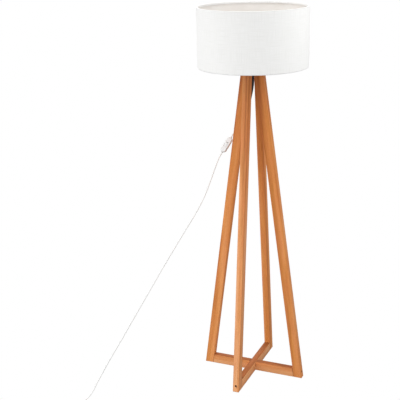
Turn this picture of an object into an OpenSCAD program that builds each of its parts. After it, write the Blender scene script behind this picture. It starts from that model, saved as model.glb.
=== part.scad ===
// Four-legged wooden floor lamp with a drum shade and an in-line switch.
// Millimetres, +Z up. The origin is on the floor, on the lamp's vertical axis.
// The lower floor bar runs along X and the upper one along Y, so the legs stand
// at +X (right), +Y (back), -X (left) and -Y (front).

/* [Stance] */
// Height from the floor to the top of the shade
total_h = 1600; // [1300:10:1920]
// From the axis to a leg's outer face, at the floor
foot_spread = 228; // [180:1:290]
// From the axis to the outer face of the left and right legs, at their tops
side_head = 40; // [34:1:50]
// From the axis to the outer face of the front and back legs, at their tops
long_head = 77.5; // [64:0.5:95]
// How far the leg tops stand above the shade's lower edge
head_rise = 36; // [20:1:40]

/* [Timber] */
// Width of every timber
timber_w = 27; // [22:1:33]
// Depth of a leg, from its outer to its inner face
leg_d = 37; // [30:1:45]
// Height of a floor bar
bar_h = 40; // [33:1:48]
// Height of the dowels above the floor
dowel_z = 11; // [8:1:13]
// Diameter of the dowels
dowel_d = 8; // [6:1:10]
// Length of the dowels
dowel_l = 36; // [28:1:44]

/* [Hub] */
// Width of the hub block between the left and right legs
hub_w = 32; // [26:1:40]
// Height of the hub block
hub_h = 56; // [46:1:68]

/* [Screws] */
// Height of the foot screws above the floor
foot_screw_z = 27; // [22:1:32]
// Length of a foot screw
foot_screw_l = 70; // [58:1:84]
// Shank diameter of a foot screw
foot_shank_d = 6; // [5:0.5:7]
// Length of a hub screw
hub_screw_l = 34; // [28:1:36]
// Length of the screw that holds the two bars together
cross_screw_l = 32; // [26:1:36]
// Shank diameter of the hub and cross screws
shank_d = 4.4; // [3.5:0.1:5.5]
// Head diameter of all wood screws
head_d = 9; // [7.5:0.5:11]
// Head height of all wood screws
head_h = 3; // [2.5:0.5:4]
// How far the heads lie below the wood's surface
head_recess = 2; // [1:0.5:4]

/* [Tube] */
// Outer diameter of the threaded tube
tube_d = 10; // [9:0.5:12]
// Bore of the threaded tube
tube_bore = 7.2; // [6.6:0.1:8]
// Width across the flats of the tube's nuts
nut_af = 14; // [13:0.5:17]
// Height of the tube's nuts
nut_h = 5; // [4:0.5:6]
// Diameter of the washers
washer_d = 19; // [17:1:22]
// Thickness of the washers
washer_h = 1.5; // [1:0.5:2.5]

/* [Shade] */
// Outer diameter of the shade
shade_d = 450; // [380:5:540]
// Height of the shade
shade_h = 240; // [200:5:288]
// Thickness of the outer fabric
fabric_t = 0.6; // [0.4:0.1:1]
// Thickness of the stiff lining
lining_t = 0.8; // [0.6:0.1:1.2]
// Diameter of the shade's wires
wire_d = 4; // [3:0.5:5]
// Number of spokes
spokes = 3; // [2:1:6]
// Height of the turned-in hem
hem_h = 8; // [6:0.5:12]
// Thickness of the hem tape
hem_t = 0.6; // [0.4:0.1:1]

/* [Lampholder] */
// Outer diameter of the lampholder
holder_d = 39.6; // [36:0.2:46]
// Height of the lampholder's cap
cap_h = 22; // [20:1:27]
// Height of the lampholder's body
body_h = 38; // [36:1:46]
// Wall of the lampholder's cap
cap_wall = 2.2; // [1.6:0.1:3]
// Outer diameter of the two shade rings
ring_d = 52; // [48:1:60]
// Height of the clamp ring
clamp_h = 7; // [5:0.5:9]
// Thickness of the spider's centre plate
plate_t = 2; // [1.5:0.5:3]

/* [Bulb] */
// Diameter of the bulb's globe
globe_d = 60; // [54:1:66]
// Wall of the globe
globe_wall = 1.2; // [0.8:0.1:2]
// Diameter of the screw cap
screw_cap_d = 26.2; // [25:0.2:27]

/* [Cord] */
// Diameter of the cord
cord_d = 6; // [5:0.5:7]
// Diameter of the strain relief where it leaves the gland
relief_d = 10.4; // [9:0.2:12]
// Diameter of the black sleeve over the cord's first stretch
sleeve_d = 9.8; // [7.6:0.2:11]

/* [Switch] */
// Length of the switch over its two nibs
switch_l = 76; // [66:1:90]
// Width of the switch
switch_w = 25; // [22:1:30]
// Thickness of the switch
switch_t = 17; // [15:1:20]
// Wall of the switch's shells
switch_wall = 1.8; // [1.4:0.1:2.4]
// Length of the rocker
rocker_l = 19; // [16:1:22]
// Width of the rocker
rocker_w = 10; // [8:1:12]

/* [Plug] */
// Length of the plug's body
plug_l = 30; // [26:1:36]
// Width of the plug's body
plug_w = 35; // [30:1:40]
// Thickness of the plug's body
plug_t = 13.6; // [12:0.2:16]
// Length of the plug's strain relief
plug_relief_l = 22; // [18:1:28]

/* [Hidden] */
$fn = 48;

// Overlap that keeps a cut from ending on a face
eps = 1;
// Radial clearance of a screw or dowel in its pilot hole
pilot_gap = 0.05;
// Radial clearance of a screw in a through hole, and of its head
loose_gap = 0.3;
// Radial clearance of pieces that turn or slide on each other
run_gap = 0.05;
// Room between the lower washer and the legs on either side
side_gap = 0.6;
// Space left beyond the tip of a screw
tip_gap = 0.5;

// Heights of the main levels
shade_z = total_h - shade_h;
leg_top = shade_z + head_rise;
hub_z0 = leg_top - hub_h;

// Leg geometry in its own radial plane: r is measured from the axis
function outer(head, z) = foot_spread - (foot_spread - head) * z / leg_top;
function lean(head) = atan((foot_spread - head) / leg_top);
function inner(head, z) = outer(head, z) - leg_d / cos(lean(head));
function head_of(k) = k % 2 == 0 ? side_head : long_head;

// Half sizes of the hub block along X and Y
hub_hx = max(hub_w / 2, inner(side_head, hub_z0));
hub_hy = inner(long_head, hub_z0);
function hub_face(k) = k % 2 == 0 ? hub_hx : hub_hy;
// Heights of the two screws through each leg head
hub_screw_z = [hub_z0 + hub_h * 0.3, hub_z0 + hub_h * 0.7];

// Stack on the threaded tube, from the bottom up
nut_low_z = hub_z0 - washer_h - nut_h;
gland_h = 11.5;
gland_r = 7;
gland_hex_r = 8.4;
gland_hex_h = 5;
gland_z = nut_low_z - gland_h;
tube_grip = 6;
tube_z0 = nut_low_z - tube_grip;
cap_z = leg_top + washer_h + nut_h;
tube_top = cap_z + tube_grip;
body_z = cap_z + cap_h;
holder_r = holder_d / 2;
neck_r = 9;
cap_floor = 7;
insert_r = max(holder_r - cap_wall - 1.5, screw_cap_d / 2 + 1.1);
insert_low = 7;
insert_top = body_z + 6.5;
terminal_w = 7;
terminal_h = 6;
terminal_x = 5;
tongue_t = 1.2;
inner_cord_top = tube_top + 1.5;
core_x = 2;
core_r = 0.95;
wire_hole_x = 10;
wire_hole_r = 1.6;
wire_hole_h = 4;
tongue_w = 6;
tongue_l = 10;
terminal_l = 8;

// Shade fixing
seat_z = body_z + 2.5;
seat_h = 4;
plate_z = seat_z + seat_h;
clamp_z = plate_z + plate_t + 0.1;
plate_r = ring_d / 2 + 1;
rib_count = 24;
rib_w = 1.6;

// Shade wall and wires
shade_r = shade_d / 2;
lining_r = shade_r - fabric_t;
wall_in = lining_r - lining_t;
wire_r = wall_in - wire_d / 2 - 0.3;
hem_in = wire_r - wire_d / 2 - 0.5 - hem_t;
wire_top_z = total_h - hem_t - wire_d / 2 - 0.05;
wire_low_z = shade_z + hem_t + wire_d / 2 + 0.05;

// Bulb
tip_z = insert_top + tongue_t + 0.1;
tip_h = 3.7;
bulb_cap_z = tip_z + tip_h;
bulb_cap_h = 22;
bulb_cap_t = 0.5;
tip_r = 4.6;
tip_lip = 0.6;
cone_h = 4;
bulb_cap_r = screw_cap_d / 2;
bulb_bore = bulb_cap_r + 2 * run_gap;
collar_z = bulb_cap_z + bulb_cap_h;
collar_h = 32;
collar_neck_h = 6;
collar_root_h = 8;
collar_rim_h = 10;
globe_r = globe_d / 2;
globe_drop = 22;
globe_seat_r = sqrt(globe_r * globe_r - globe_drop * globe_drop);
globe_z = collar_z + collar_h;
board_r = globe_seat_r - 2.9;
board_t = 1.6;
board_z = globe_z - 8;
led_w = 3;
led_count = 8;
led_ring = 0.62;

// Cord route, chosen by hand: down out of the hub, out between the left and back
// legs, through the switch and down to the floor
relief_pts = [[0, 0, 1322], [0, 0, 1302], [-2, 1, 1282], [-6, 4, 1262]];
sleeve_pts = [[-6, 4, 1262], [-11, 8, 1245], [-16, 12, 1228], [-21, 17, 1212]];
upper_pts = [[-21, 17, 1212], [-31, 22, 1192], [-42, 26, 1170], [-54, 29, 1147], [-66, 30, 1124],
    [-78, 29, 1101], [-91, 25, 1079]];
lower_pts = [[-148, -21, 966], [-159, -35, 930], [-172, -50, 882], [-187, -69, 830], [-204, -90, 782],
    [-225, -114, 735], [-247, -139, 690], [-270, -166, 643], [-292, -191, 597], [-315, -217, 549],
    [-338, -243, 500], [-361, -269, 450], [-384, -295, 400], [-407, -321, 350], [-430, -347, 300],
    [-453, -373, 250], [-476, -398, 201], [-499, -423, 152], [-521, -448, 103], [-539, -471, 59],
    [-548, -486, 34], [-558, -505, 15], [-567, -527, 5], [-575, -548, 3], [-582, -569, 3]];

// Switch: its middle, its slope, its heading and how far its face is turned about the cord
switch_c = [-121, 5, 1024];
switch_slope = 56;
switch_heading = -140;
switch_roll = -50;
switch_dir = [cos(switch_slope) * cos(switch_heading), cos(switch_slope) * sin(switch_heading),
    -sin(switch_slope)];
function switch_end(s) = switch_c + s * switch_l / 2 * switch_dir;
nib_r = 4.5;
nib_l = 4;
switch_body_l = switch_l - 2 * nib_l + 2 * (switch_w / 2 - sqrt(pow(switch_w / 2, 2) - nib_r * nib_r));
boss_x = 22;
boss_r = 3;
boss_gap = 0.5;
case_screw_r = 1;
case_head_r = 2.4;
case_head_h = 1.5;
case_thread_l = 4;
rocker_z = switch_t / 2 - 3.4;
rocker_pin_r = 1.3;
rocker_tilt = 8;
rocker_side_gap = 0.4;
window_gap = 0.9;
ear_t = 2;
ear_w = 6;
contact_x = 12;
contact_size = [8, 6, 4];

// Coil on the floor: middle, turn radii and where the cord runs in and out
coil_c = [-555, -604];
coil_in_r = 31;
coil_out_r = 37;
coil_start = 159;
cord_r = cord_d / 2;
coil_entry = [coil_c[0] + coil_out_r * cos(coil_start), coil_c[1] + coil_out_r * sin(coil_start), cord_r];
tail_pts = [[-555, -641, 9], [-545, -641, 9], [-532, -642, 8.6], [-518, -643, 7.4], [-505, -643, 6.8]];
tie_angle = 60;
tie_w = 8;
tie_t = 0.8;

// Plug: lies flat beside the coil, pins towards +X
plug_start = [-505, -643, plug_t / 2];
plug_pin_d = 4;
plug_pin_l = 19;
plug_pin_gap = 19;

function unit(v) = v / norm(v);

// A point on the smooth curve through four points
function curve_point(a, b, c, d, t) = 0.5 * ((2 * b) + (c - a) * t
    + (2 * a - 5 * b + 4 * c - d) * t * t + (3 * b - a - 3 * c + d) * t * t * t);

// The same route with n steps between each pair of points
function smooth(p, n) = let (last = len(p) - 1) concat(
    [for (i = [0 : last - 1], s = [0 : n - 1])
        curve_point(p[max(i - 1, 0)], p[i], p[i + 1], p[min(i + 2, last)], s / n)],
    [p[last]]);

// Direction of the route at one of its points
function heading(p, i) = unit(p[min(i + 1, len(p) - 1)] - p[max(i - 1, 0)]);

// A round ring of points across the route; side is never along the route
function ring_points(c, t, r, side, n) =
    let (b = unit(cross(t, side)), a = unit(cross(b, t)))
    [for (k = [0 : n - 1]) c + r * (cos(360 * k / n) * a + sin(360 * k / n) * b)];

// A closed tube along a route, from radius r0 to radius r1
module sweep(p, r0, r1, side, n = 8) {
    m = len(p);
    pts = [for (i = [0 : m - 1]) each
        ring_points(p[i], heading(p, i), r0 + (r1 - r0) * i / (m - 1), side, n)];
    walls = [for (i = [0 : m - 2], k = [0 : n - 1]) each
        let (a = i * n + k, b = i * n + (k + 1) % n)
        [[a, b, b + n], [a, b + n, a + n]]];
    start_cap = [for (k = [n - 1 : -1 : 0]) k];
    end_cap = [for (k = [0 : n - 1]) (m - 1) * n + k];
    polyhedron(points = pts, faces = concat(walls, [start_cap], [end_cap]));
}

// The side vector for the cord between the hub and the coil
cord_side = unit([0.75, -0.66, 0]);

// A wood screw with a hexagon socket: head on z = 0 facing up, shank below
module screw(length, shank_r) {
    difference() {
        union() {
            translate([0, 0, -head_h]) cylinder(h = head_h, r = head_d / 2);
            translate([0, 0, -length]) cylinder(h = length - head_h + 0.5, r = shank_r);
        }
        translate([0, 0, -head_h * 0.6]) cylinder(h = head_h, r = head_d * 0.24, $fn = 6);
    }
}

// The hole for a screw: pilot for the thread and room for the head
module screw_hole(length, shank_r, gap) {
    translate([0, 0, -length - tip_gap]) cylinder(h = length, r = shank_r + gap);
    translate([0, 0, -head_h]) cylinder(h = head_h + head_d + head_recess, r = head_d / 2 + loose_gap);
}

// Puts a screw on a leg's outer face at height z, pointing at the axis
module at_leg_face(k, z) {
    translate([outer(head_of(k), z) - head_recess, 0, z]) rotate([0, 90, 0]) children();
}

// Puts a dowel across the joint between a leg and its bar
module at_dowel(k) {
    translate([inner(head_of(k), dowel_z) - dowel_l / 2, 0, dowel_z]) rotate([0, 90, 0]) children();
}

module dowel_hole() {
    translate([0, 0, -pilot_gap]) cylinder(h = dowel_l + 2 * pilot_gap, r = dowel_d / 2 + pilot_gap);
}

// A timber's side view, extruded to the timber's width; x is measured from the axis
module timber(points) {
    translate([0, timber_w / 2, 0]) rotate([90, 0, 0]) linear_extrude(timber_w) polygon(points);
}

module leg(k) {
    h = head_of(k);
    color("#c98a55") rotate([0, 0, 90 * k]) difference() {
        timber([[inner(h, 0), 0], [outer(h, 0), 0],
            [outer(h, leg_top), leg_top], [inner(h, leg_top), leg_top]]);
        translate([hub_face(k) - 2 * leg_d, -timber_w / 2 - eps, hub_z0])
            cube([2 * leg_d, timber_w + 2 * eps, hub_h + eps]);
        translate([0, 0, tube_z0 - nut_af])
            cylinder(h = hub_z0 - tube_z0 + nut_af, r = washer_d / 2 + side_gap);
        at_leg_face(k, foot_screw_z) screw_hole(foot_screw_l, foot_shank_d / 2, loose_gap);
        at_dowel(k) dowel_hole();
        for (z = hub_screw_z) at_leg_face(k, z) screw_hole(hub_screw_l, shank_d / 2, loose_gap);
    }
}

// A floor bar between legs k and k + 2, before its notch
module bar(k) {
    h = head_of(k);
    rotate([0, 0, 90 * k]) difference() {
        timber([[-inner(h, 0), 0], [inner(h, 0), 0], [inner(h, bar_h), bar_h], [-inner(h, bar_h), bar_h]]);
        for (turn = [0, 180]) rotate([0, 0, turn]) {
            at_leg_face(k, foot_screw_z) screw_hole(foot_screw_l, foot_shank_d / 2, pilot_gap);
            at_dowel(k) dowel_hole();
        }
    }
}

module at_cross_screw() {
    translate([0, 0, head_recess]) rotate([180, 0, 0]) children();
}

module crossbar_lower() {
    color("#bd7f4c") difference() {
        bar(0);
        translate([-timber_w / 2, -timber_w / 2 - eps, bar_h / 2])
            cube([timber_w, timber_w + 2 * eps, bar_h]);
        at_cross_screw() screw_hole(cross_screw_l, shank_d / 2, loose_gap);
    }
}

module crossbar_upper() {
    color("#bd7f4c") difference() {
        bar(1);
        translate([-timber_w / 2 - eps, -timber_w / 2, -bar_h / 2])
            cube([timber_w + 2 * eps, timber_w, bar_h]);
        at_cross_screw() screw_hole(cross_screw_l, shank_d / 2, pilot_gap);
    }
}

module foot_screws() {
    color("#4a4a48") for (k = [0 : 3]) rotate([0, 0, 90 * k])
        at_leg_face(k, foot_screw_z) screw(foot_screw_l, foot_shank_d / 2);
}

module foot_dowels() {
    color("#d8b383") for (k = [0 : 3]) rotate([0, 0, 90 * k])
        at_dowel(k) cylinder(h = dowel_l, r = dowel_d / 2);
}

module cross_screw() {
    color("#4a4a48") at_cross_screw() screw(cross_screw_l, shank_d / 2);
}

module hub_block() {
    color("#c08a58") difference() {
        translate([-hub_hx, -hub_hy, hub_z0]) cube([2 * hub_hx, 2 * hub_hy, hub_h]);
        translate([0, 0, hub_z0 - eps]) cylinder(h = hub_h + 2 * eps, r = tube_d / 2 + pilot_gap);
        for (k = [0 : 3], z = hub_screw_z) rotate([0, 0, 90 * k])
            at_leg_face(k, z) translate([0, 0, -hub_screw_l - tip_gap])
                cylinder(h = hub_screw_l, r = shank_d / 2 + pilot_gap);
    }
}

module hub_screws() {
    color("#4a4a48") for (k = [0 : 3], z = hub_screw_z) rotate([0, 0, 90 * k])
        at_leg_face(k, z) screw(hub_screw_l, shank_d / 2);
}

module threaded_tube() {
    color("#c9ccd0") translate([0, 0, tube_z0]) difference() {
        cylinder(h = tube_top - tube_z0, r = tube_d / 2);
        translate([0, 0, -eps]) cylinder(h = tube_top - tube_z0 + 2 * eps, r = tube_bore / 2);
    }
}

module tube_nuts() {
    color("#c9ccd0") for (z = [nut_low_z, leg_top + washer_h]) translate([0, 0, z]) difference() {
        cylinder(h = nut_h, r = nut_af / 2 / cos(30), $fn = 6);
        translate([0, 0, -eps]) cylinder(h = nut_h + 2 * eps, r = tube_d / 2 + pilot_gap);
    }
}

module tube_washers() {
    color("#c9ccd0") for (z = [hub_z0 - washer_h, leg_top]) translate([0, 0, z]) difference() {
        cylinder(h = washer_h, r = washer_d / 2);
        translate([0, 0, -eps]) cylinder(h = washer_h + 2 * eps, r = tube_d / 2 + loose_gap);
    }
}

module cord_gland() {
    color("#1c1c1e") translate([0, 0, gland_z]) difference() {
        union() {
            cylinder(h = gland_h, r = gland_r);
            translate([0, 0, gland_h - gland_hex_h]) cylinder(h = gland_hex_h, r = gland_hex_r, $fn = 6);
        }
        translate([0, 0, gland_h - tube_grip]) cylinder(h = tube_grip + eps, r = tube_d / 2 + pilot_gap);
        translate([0, 0, -eps]) cylinder(h = gland_h, r = cord_r + pilot_gap);
    }
}

module strain_relief() {
    color("#1c1c1e") sweep(smooth(relief_pts, 2), relief_d / 2, sleeve_d / 2, cord_side);
}

module cord_sleeve() {
    color("#202022") sweep(sleeve_pts, sleeve_d / 2, sleeve_d / 2, cord_side);
}

module inner_cord() {
    color("#1c1c1e") translate([0, 0, gland_z]) cylinder(h = inner_cord_top - gland_z, r = cord_r);
}

module inner_cores() {
    color("#7a4a2a") for (s = [-1, 1]) translate([s * core_x, 0, inner_cord_top])
        cylinder(h = body_z - insert_low - terminal_h - inner_cord_top, r = core_r);
}

module holder_cap() {
    color("#f2f2f0") difference() {
        translate([0, 0, cap_z]) rotate_extrude() polygon([[0, 0], [neck_r, 0], [neck_r, 5],
            [holder_r - 1, 11], [holder_r, 12], [holder_r, cap_h], [0, cap_h]]);
        translate([0, 0, cap_z - eps]) cylinder(h = cap_floor + 2 * eps, r = tube_d / 2 + pilot_gap);
        translate([0, 0, cap_z + cap_floor]) cylinder(h = 5, r1 = neck_r - 1, r2 = holder_r - cap_wall - 1);
        translate([0, 0, cap_z + cap_floor + 5]) cylinder(h = cap_h, r = holder_r - cap_wall);
    }
}

module holder_body() {
    color("#f2f2f0") difference() {
        translate([0, 0, body_z]) cylinder(h = body_h, r = holder_r);
        translate([0, 0, body_z - eps]) cylinder(h = insert_top - body_z + eps, r = insert_r + pilot_gap);
        translate([0, 0, body_z]) cylinder(h = body_h + eps, r = bulb_bore);
    }
}

module holder_insert() {
    color("#e8e2d4") translate([0, 0, body_z - insert_low]) difference() {
        cylinder(h = insert_top - body_z + insert_low, r = insert_r);
        for (s = [-1, 1]) translate([s * wire_hole_x, 0, -eps])
            cylinder(h = wire_hole_h + eps, r = wire_hole_r);
    }
}

module holder_contacts() {
    color("#c8a24a") {
        translate([-tongue_w / 2, -tongue_l / 2, insert_top]) cube([tongue_w, tongue_l, tongue_t]);
        for (s = [-1, 1])
            translate([s * terminal_x - terminal_w / 2, -terminal_l / 2, body_z - insert_low - terminal_h])
                cube([terminal_w, terminal_l, terminal_h]);
    }
}

module terminal_screws() {
    color("#b9bbbd") for (s = [-1, 1])
        translate([s * (terminal_x + terminal_w / 2), 0, body_z - insert_low - terminal_h / 2])
            rotate([0, s * 90, 0]) cylinder(h = 2, r = 1.6);
}

module ring_seat() {
    color("#f2f2f0") translate([0, 0, seat_z]) difference() {
        cylinder(h = seat_h, r = ring_d / 2);
        translate([0, 0, -eps]) cylinder(h = seat_h + 2 * eps, r = holder_r + pilot_gap);
    }
}

module clamp_ring() {
    color("#f2f2f0") translate([0, 0, clamp_z]) difference() {
        union() {
            cylinder(h = clamp_h, r = (ring_d - rib_w) / 2);
            for (i = [0 : rib_count - 1]) rotate([0, 0, 360 * i / rib_count])
                translate([ring_d / 2 - rib_w, -rib_w / 2, 0]) cube([rib_w, rib_w, clamp_h]);
        }
        translate([0, 0, -eps]) cylinder(h = clamp_h + 2 * eps, r = holder_r + run_gap);
    }
}

module bulb_cap() {
    color("#c9ccd0") translate([0, 0, bulb_cap_z]) rotate_extrude() polygon([[tip_r + 0.2, 0],
        [bulb_cap_r, cone_h], [bulb_cap_r, bulb_cap_h], [bulb_cap_r - bulb_cap_t, bulb_cap_h],
        [bulb_cap_r - bulb_cap_t, cone_h + 0.3], [tip_r + 0.2, tip_lip]]);
}

module bulb_tip() {
    color("#2a2a2c") translate([0, 0, tip_z]) rotate_extrude()
        polygon([[0, 0], [tip_r - 2.1, 0], [tip_r, tip_h], [tip_r, tip_h + tip_lip], [0, tip_h + tip_lip]]);
}

module bulb_collar() {
    color("#f4f4f2") translate([0, 0, collar_z]) rotate_extrude() polygon([[0, -collar_root_h],
        [bulb_cap_r - bulb_cap_t, -collar_root_h], [bulb_cap_r - bulb_cap_t, 0], [bulb_cap_r - 0.1, 0],
        [bulb_cap_r - 0.1, collar_neck_h], [globe_seat_r, collar_h - collar_rim_h], [globe_seat_r, collar_h],
        [board_r + 0.1, collar_h], [board_r + 0.1, board_z - collar_z], [0, board_z - collar_z]]);
}

module led_board() {
    color("#e9e9e2") translate([0, 0, board_z]) {
        cylinder(h = board_t, r = board_r);
        for (i = [0 : led_count - 1]) rotate([0, 0, 360 * i / led_count])
            translate([board_r * led_ring - led_w / 2, -led_w / 2, board_t / 2])
                cube([led_w, led_w, board_t]);
    }
}

module bulb_globe() {
    color("#fbfbf8") translate([0, 0, globe_z]) rotate_extrude() intersection() {
        translate([0, globe_drop]) difference() {
            circle(r = globe_r);
            circle(r = globe_r - globe_wall);
        }
        square([globe_r + eps, 2 * globe_r]);
    }
}

// A thin upright tube of the shade's wall, between the two hems
module shade_wall(r_out, t) {
    translate([0, 0, shade_z + hem_t]) difference() {
        cylinder(h = shade_h - 2 * hem_t, r = r_out);
        translate([0, 0, -eps]) cylinder(h = shade_h + 2 * eps, r = r_out - t);
    }
}

module shade_fabric() {
    color("#f7f7f5") shade_wall(shade_r, fabric_t);
}

module shade_lining() {
    color("#e4e0da") shade_wall(lining_r, lining_t);
}

// Hem tape over the edge at z = 0, with its flange turned in above it
module hem() {
    rotate_extrude() polygon([[hem_in, 0], [shade_r, 0], [shade_r, hem_t],
        [hem_in + hem_t, hem_t], [hem_in + hem_t, hem_h], [hem_in, hem_h]]);
}

module shade_hem_top() {
    color("#f4f4f2") translate([0, 0, total_h]) mirror([0, 0, 1]) hem();
}

module shade_hem_bottom() {
    color("#f4f4f2") difference() {
        translate([0, 0, shade_z]) hem();
        spoke_wires(wire_d / 2 + loose_gap);
    }
}

module wire_ring() {
    rotate_extrude() translate([wire_r, 0]) circle(r = wire_d / 2);
}

module shade_ring_top() {
    color("#eeeeec") translate([0, 0, wire_top_z]) wire_ring();
}

module shade_ring_bottom() {
    color("#eeeeec") translate([0, 0, wire_low_z]) wire_ring();
}

// The spokes as plain round bars of radius r
module spoke_wires(r) {
    rise = plate_z + plate_t / 2 - wire_low_z;
    run = wire_r - plate_r + 3;
    for (i = [0 : spokes - 1]) rotate([0, 0, 90 + 360 * i / spokes])
        translate([wire_r, 0, wire_low_z]) rotate([0, -atan2(run, rise), 0])
            cylinder(h = sqrt(run * run + rise * rise), r = r);
}

module shade_spider() {
    color("#eeeeec") difference() {
        union() {
            translate([0, 0, plate_z]) cylinder(h = plate_t, r = plate_r);
            intersection() {
                spoke_wires(wire_d / 2);
                translate([0, 0, shade_z]) cylinder(h = plate_z + plate_t - shade_z, r = shade_r);
            }
        }
        translate([0, 0, plate_z - eps]) cylinder(h = plate_t + 2 * eps, r = holder_r + 2 * run_gap);
        translate([0, 0, seat_z - ring_d / 4]) cylinder(h = seat_h + ring_d / 4, r = ring_d / 2 + loose_gap);
    }
}

module cord_upper() {
    color("#f0f0ee") sweep(concat(upper_pts, [switch_end(-1)]), cord_r, cord_r, cord_side);
}

module cord_lower() {
    route = concat([switch_end(1)], lower_pts, [coil_entry]);
    color("#f0f0ee") sweep(smooth(route, 2), cord_r, cord_r, cord_side);
}

module cord_coil() {
    color("#f0f0ee") translate([coil_c[0], coil_c[1], 0]) rotate_extrude() union() {
        for (x = [coil_in_r, coil_out_r], y = [cord_r, 3 * cord_r])
            translate([x, y]) circle(r = cord_r);
        translate([coil_in_r - cord_r, cord_r]) square([coil_out_r - coil_in_r + cord_d, cord_d]);
        translate([coil_in_r, 0]) square([coil_out_r - coil_in_r, 2 * cord_d]);
    }
}

module coil_tie() {
    section_w = coil_out_r - coil_in_r + cord_d;
    color("#dcdcda") translate([coil_c[0], coil_c[1], 0]) rotate([0, 0, tie_angle]) difference() {
        translate([coil_in_r - cord_r - tie_t, -tie_w / 2, 0])
            cube([section_w + 2 * tie_t, tie_w, 2 * cord_d + tie_t]);
        translate([coil_in_r - cord_r, -tie_w / 2 - eps, tie_t])
            cube([section_w, tie_w + 2 * eps, 2 * cord_d - tie_t]);
    }
}

module cord_tail() {
    color("#f0f0ee") sweep(tail_pts, cord_r, cord_r, [0, 1, 0]);
}

// Puts a piece of the switch in place: X along the cord, Z out of the rocker's face
module at_switch() {
    translate(switch_c) rotate([switch_roll, switch_slope, switch_heading]) children();
}

// Outline of the switch, d smaller all round
module switch_outline(d) {
    half = switch_body_l / 2 - switch_w / 2;
    square([2 * half, switch_w - 2 * d], center = true);
    for (s = [-1, 1]) translate([s * half, 0]) circle(r = switch_w / 2 - d);
}

// One hollow half of the switch: s is 1 for the cover and -1 for the base
module switch_half(s) {
    depth = switch_t / 2;
    intersection() {
        difference() {
            union() {
                translate([0, 0, -depth]) linear_extrude(switch_t) switch_outline(0);
                translate([-switch_l / 2, 0, 0]) rotate([0, 90, 0]) cylinder(h = switch_l, r = nib_r);
            }
            translate([0, 0, -depth + switch_wall]) linear_extrude(switch_t - 2 * switch_wall)
                switch_outline(switch_wall);
        }
        translate([-switch_l, -switch_w, s > 0 ? 0 : -switch_t]) cube([2 * switch_l, 2 * switch_w, switch_t]);
    }
}

module switch_base() {
    depth = switch_t / 2;
    color("#e9e9e9") at_switch() difference() {
        union() {
            switch_half(-1);
            for (s = [-1, 1]) translate([s * boss_x, 0, boss_gap - depth])
                cylinder(h = depth - boss_gap, r = boss_r);
        }
        for (s = [-1, 1]) translate([s * boss_x, 0, -depth - eps]) {
            cylinder(h = depth + 2 * eps, r = case_screw_r + loose_gap);
            cylinder(h = case_head_h + loose_gap + eps, r = case_head_r + 0.2);
        }
    }
}

module switch_cover() {
    depth = switch_t / 2;
    ear_y = rocker_w / 2 + rocker_side_gap;
    color("#f0f0f0") at_switch() difference() {
        union() {
            switch_half(1);
            for (s = [-1, 1]) translate([s * boss_x, 0, 0]) cylinder(h = depth - boss_gap, r = boss_r);
            for (s = [-1, 1])
                translate([-ear_w / 2, s * (ear_y + ear_t / 2) - ear_t / 2, rocker_z - 2 * rocker_pin_r])
                    cube([ear_w, ear_t, depth - rocker_z + ear_t]);
        }
        translate([-rocker_l / 2 - window_gap, -ear_y, 0])
            cube([rocker_l + 2 * window_gap, 2 * ear_y, depth + eps]);
        translate([0, ear_y + ear_t, rocker_z]) rotate([90, 0, 0])
            cylinder(h = 2 * (ear_y + ear_t), r = rocker_pin_r + run_gap);
        for (s = [-1, 1]) translate([s * boss_x, 0, -eps])
            cylinder(h = case_thread_l + 1 + eps, r = case_screw_r + pilot_gap);
    }
}

module switch_rocker() {
    top = switch_t / 2 - rocker_z;
    color("#fafafa") at_switch() translate([0, 0, rocker_z]) rotate([0, rocker_tilt, 0]) {
        translate([0, rocker_w / 2, 0]) rotate([90, 0, 0]) linear_extrude(rocker_w)
            polygon([[-rocker_l / 2, top + 0.9], [0, top - 0.2], [rocker_l / 2, top + 0.9],
                [rocker_l / 2 - 0.6, -0.5], [3, -2.4], [-3, -2.4], [-rocker_l / 2 + 0.6, -0.5]]);
        translate([0, rocker_w / 2 + ear_t - 0.1, 0]) rotate([90, 0, 0])
            cylinder(h = rocker_w + 2 * (ear_t - 0.1), r = rocker_pin_r);
    }
}

module switch_screws() {
    depth = switch_t / 2;
    color("#b9bbbd") at_switch() for (s = [-1, 1]) translate([s * boss_x, 0, 0.3 - depth]) {
        cylinder(h = case_head_h, r = case_head_r);
        cylinder(h = depth + case_thread_l, r = case_screw_r);
    }
}

module switch_contacts() {
    color("#c8a24a") at_switch() for (s = [-1, 1])
        translate([s * contact_x - contact_size[0] / 2, -contact_size[1] / 2, switch_wall - switch_t / 2])
            cube(contact_size);
}

module plug_body() {
    color("#f0f0ee") translate([plug_start[0] + plug_relief_l, plug_start[1], 0]) linear_extrude(plug_t)
        polygon([[0, -plug_w * 0.2], [plug_l * 0.5, -plug_w / 2], [plug_l, -plug_w / 2],
            [plug_l, plug_w / 2], [plug_l * 0.5, plug_w / 2], [0, plug_w * 0.2]]);
}

module plug_pins() {
    color("#c9ccd0") for (s = [-1, 1])
        translate([plug_start[0] + plug_relief_l + plug_l, plug_start[1] + s * plug_pin_gap / 2, plug_t / 2])
            rotate([0, 90, 0]) cylinder(h = plug_pin_l, r = plug_pin_d / 2);
}

module plug_relief() {
    color("#f0f0ee") translate(plug_start) rotate([0, 90, 0])
        cylinder(h = plug_relief_l, r1 = cord_r + 0.8, r2 = 5.4);
}

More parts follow.
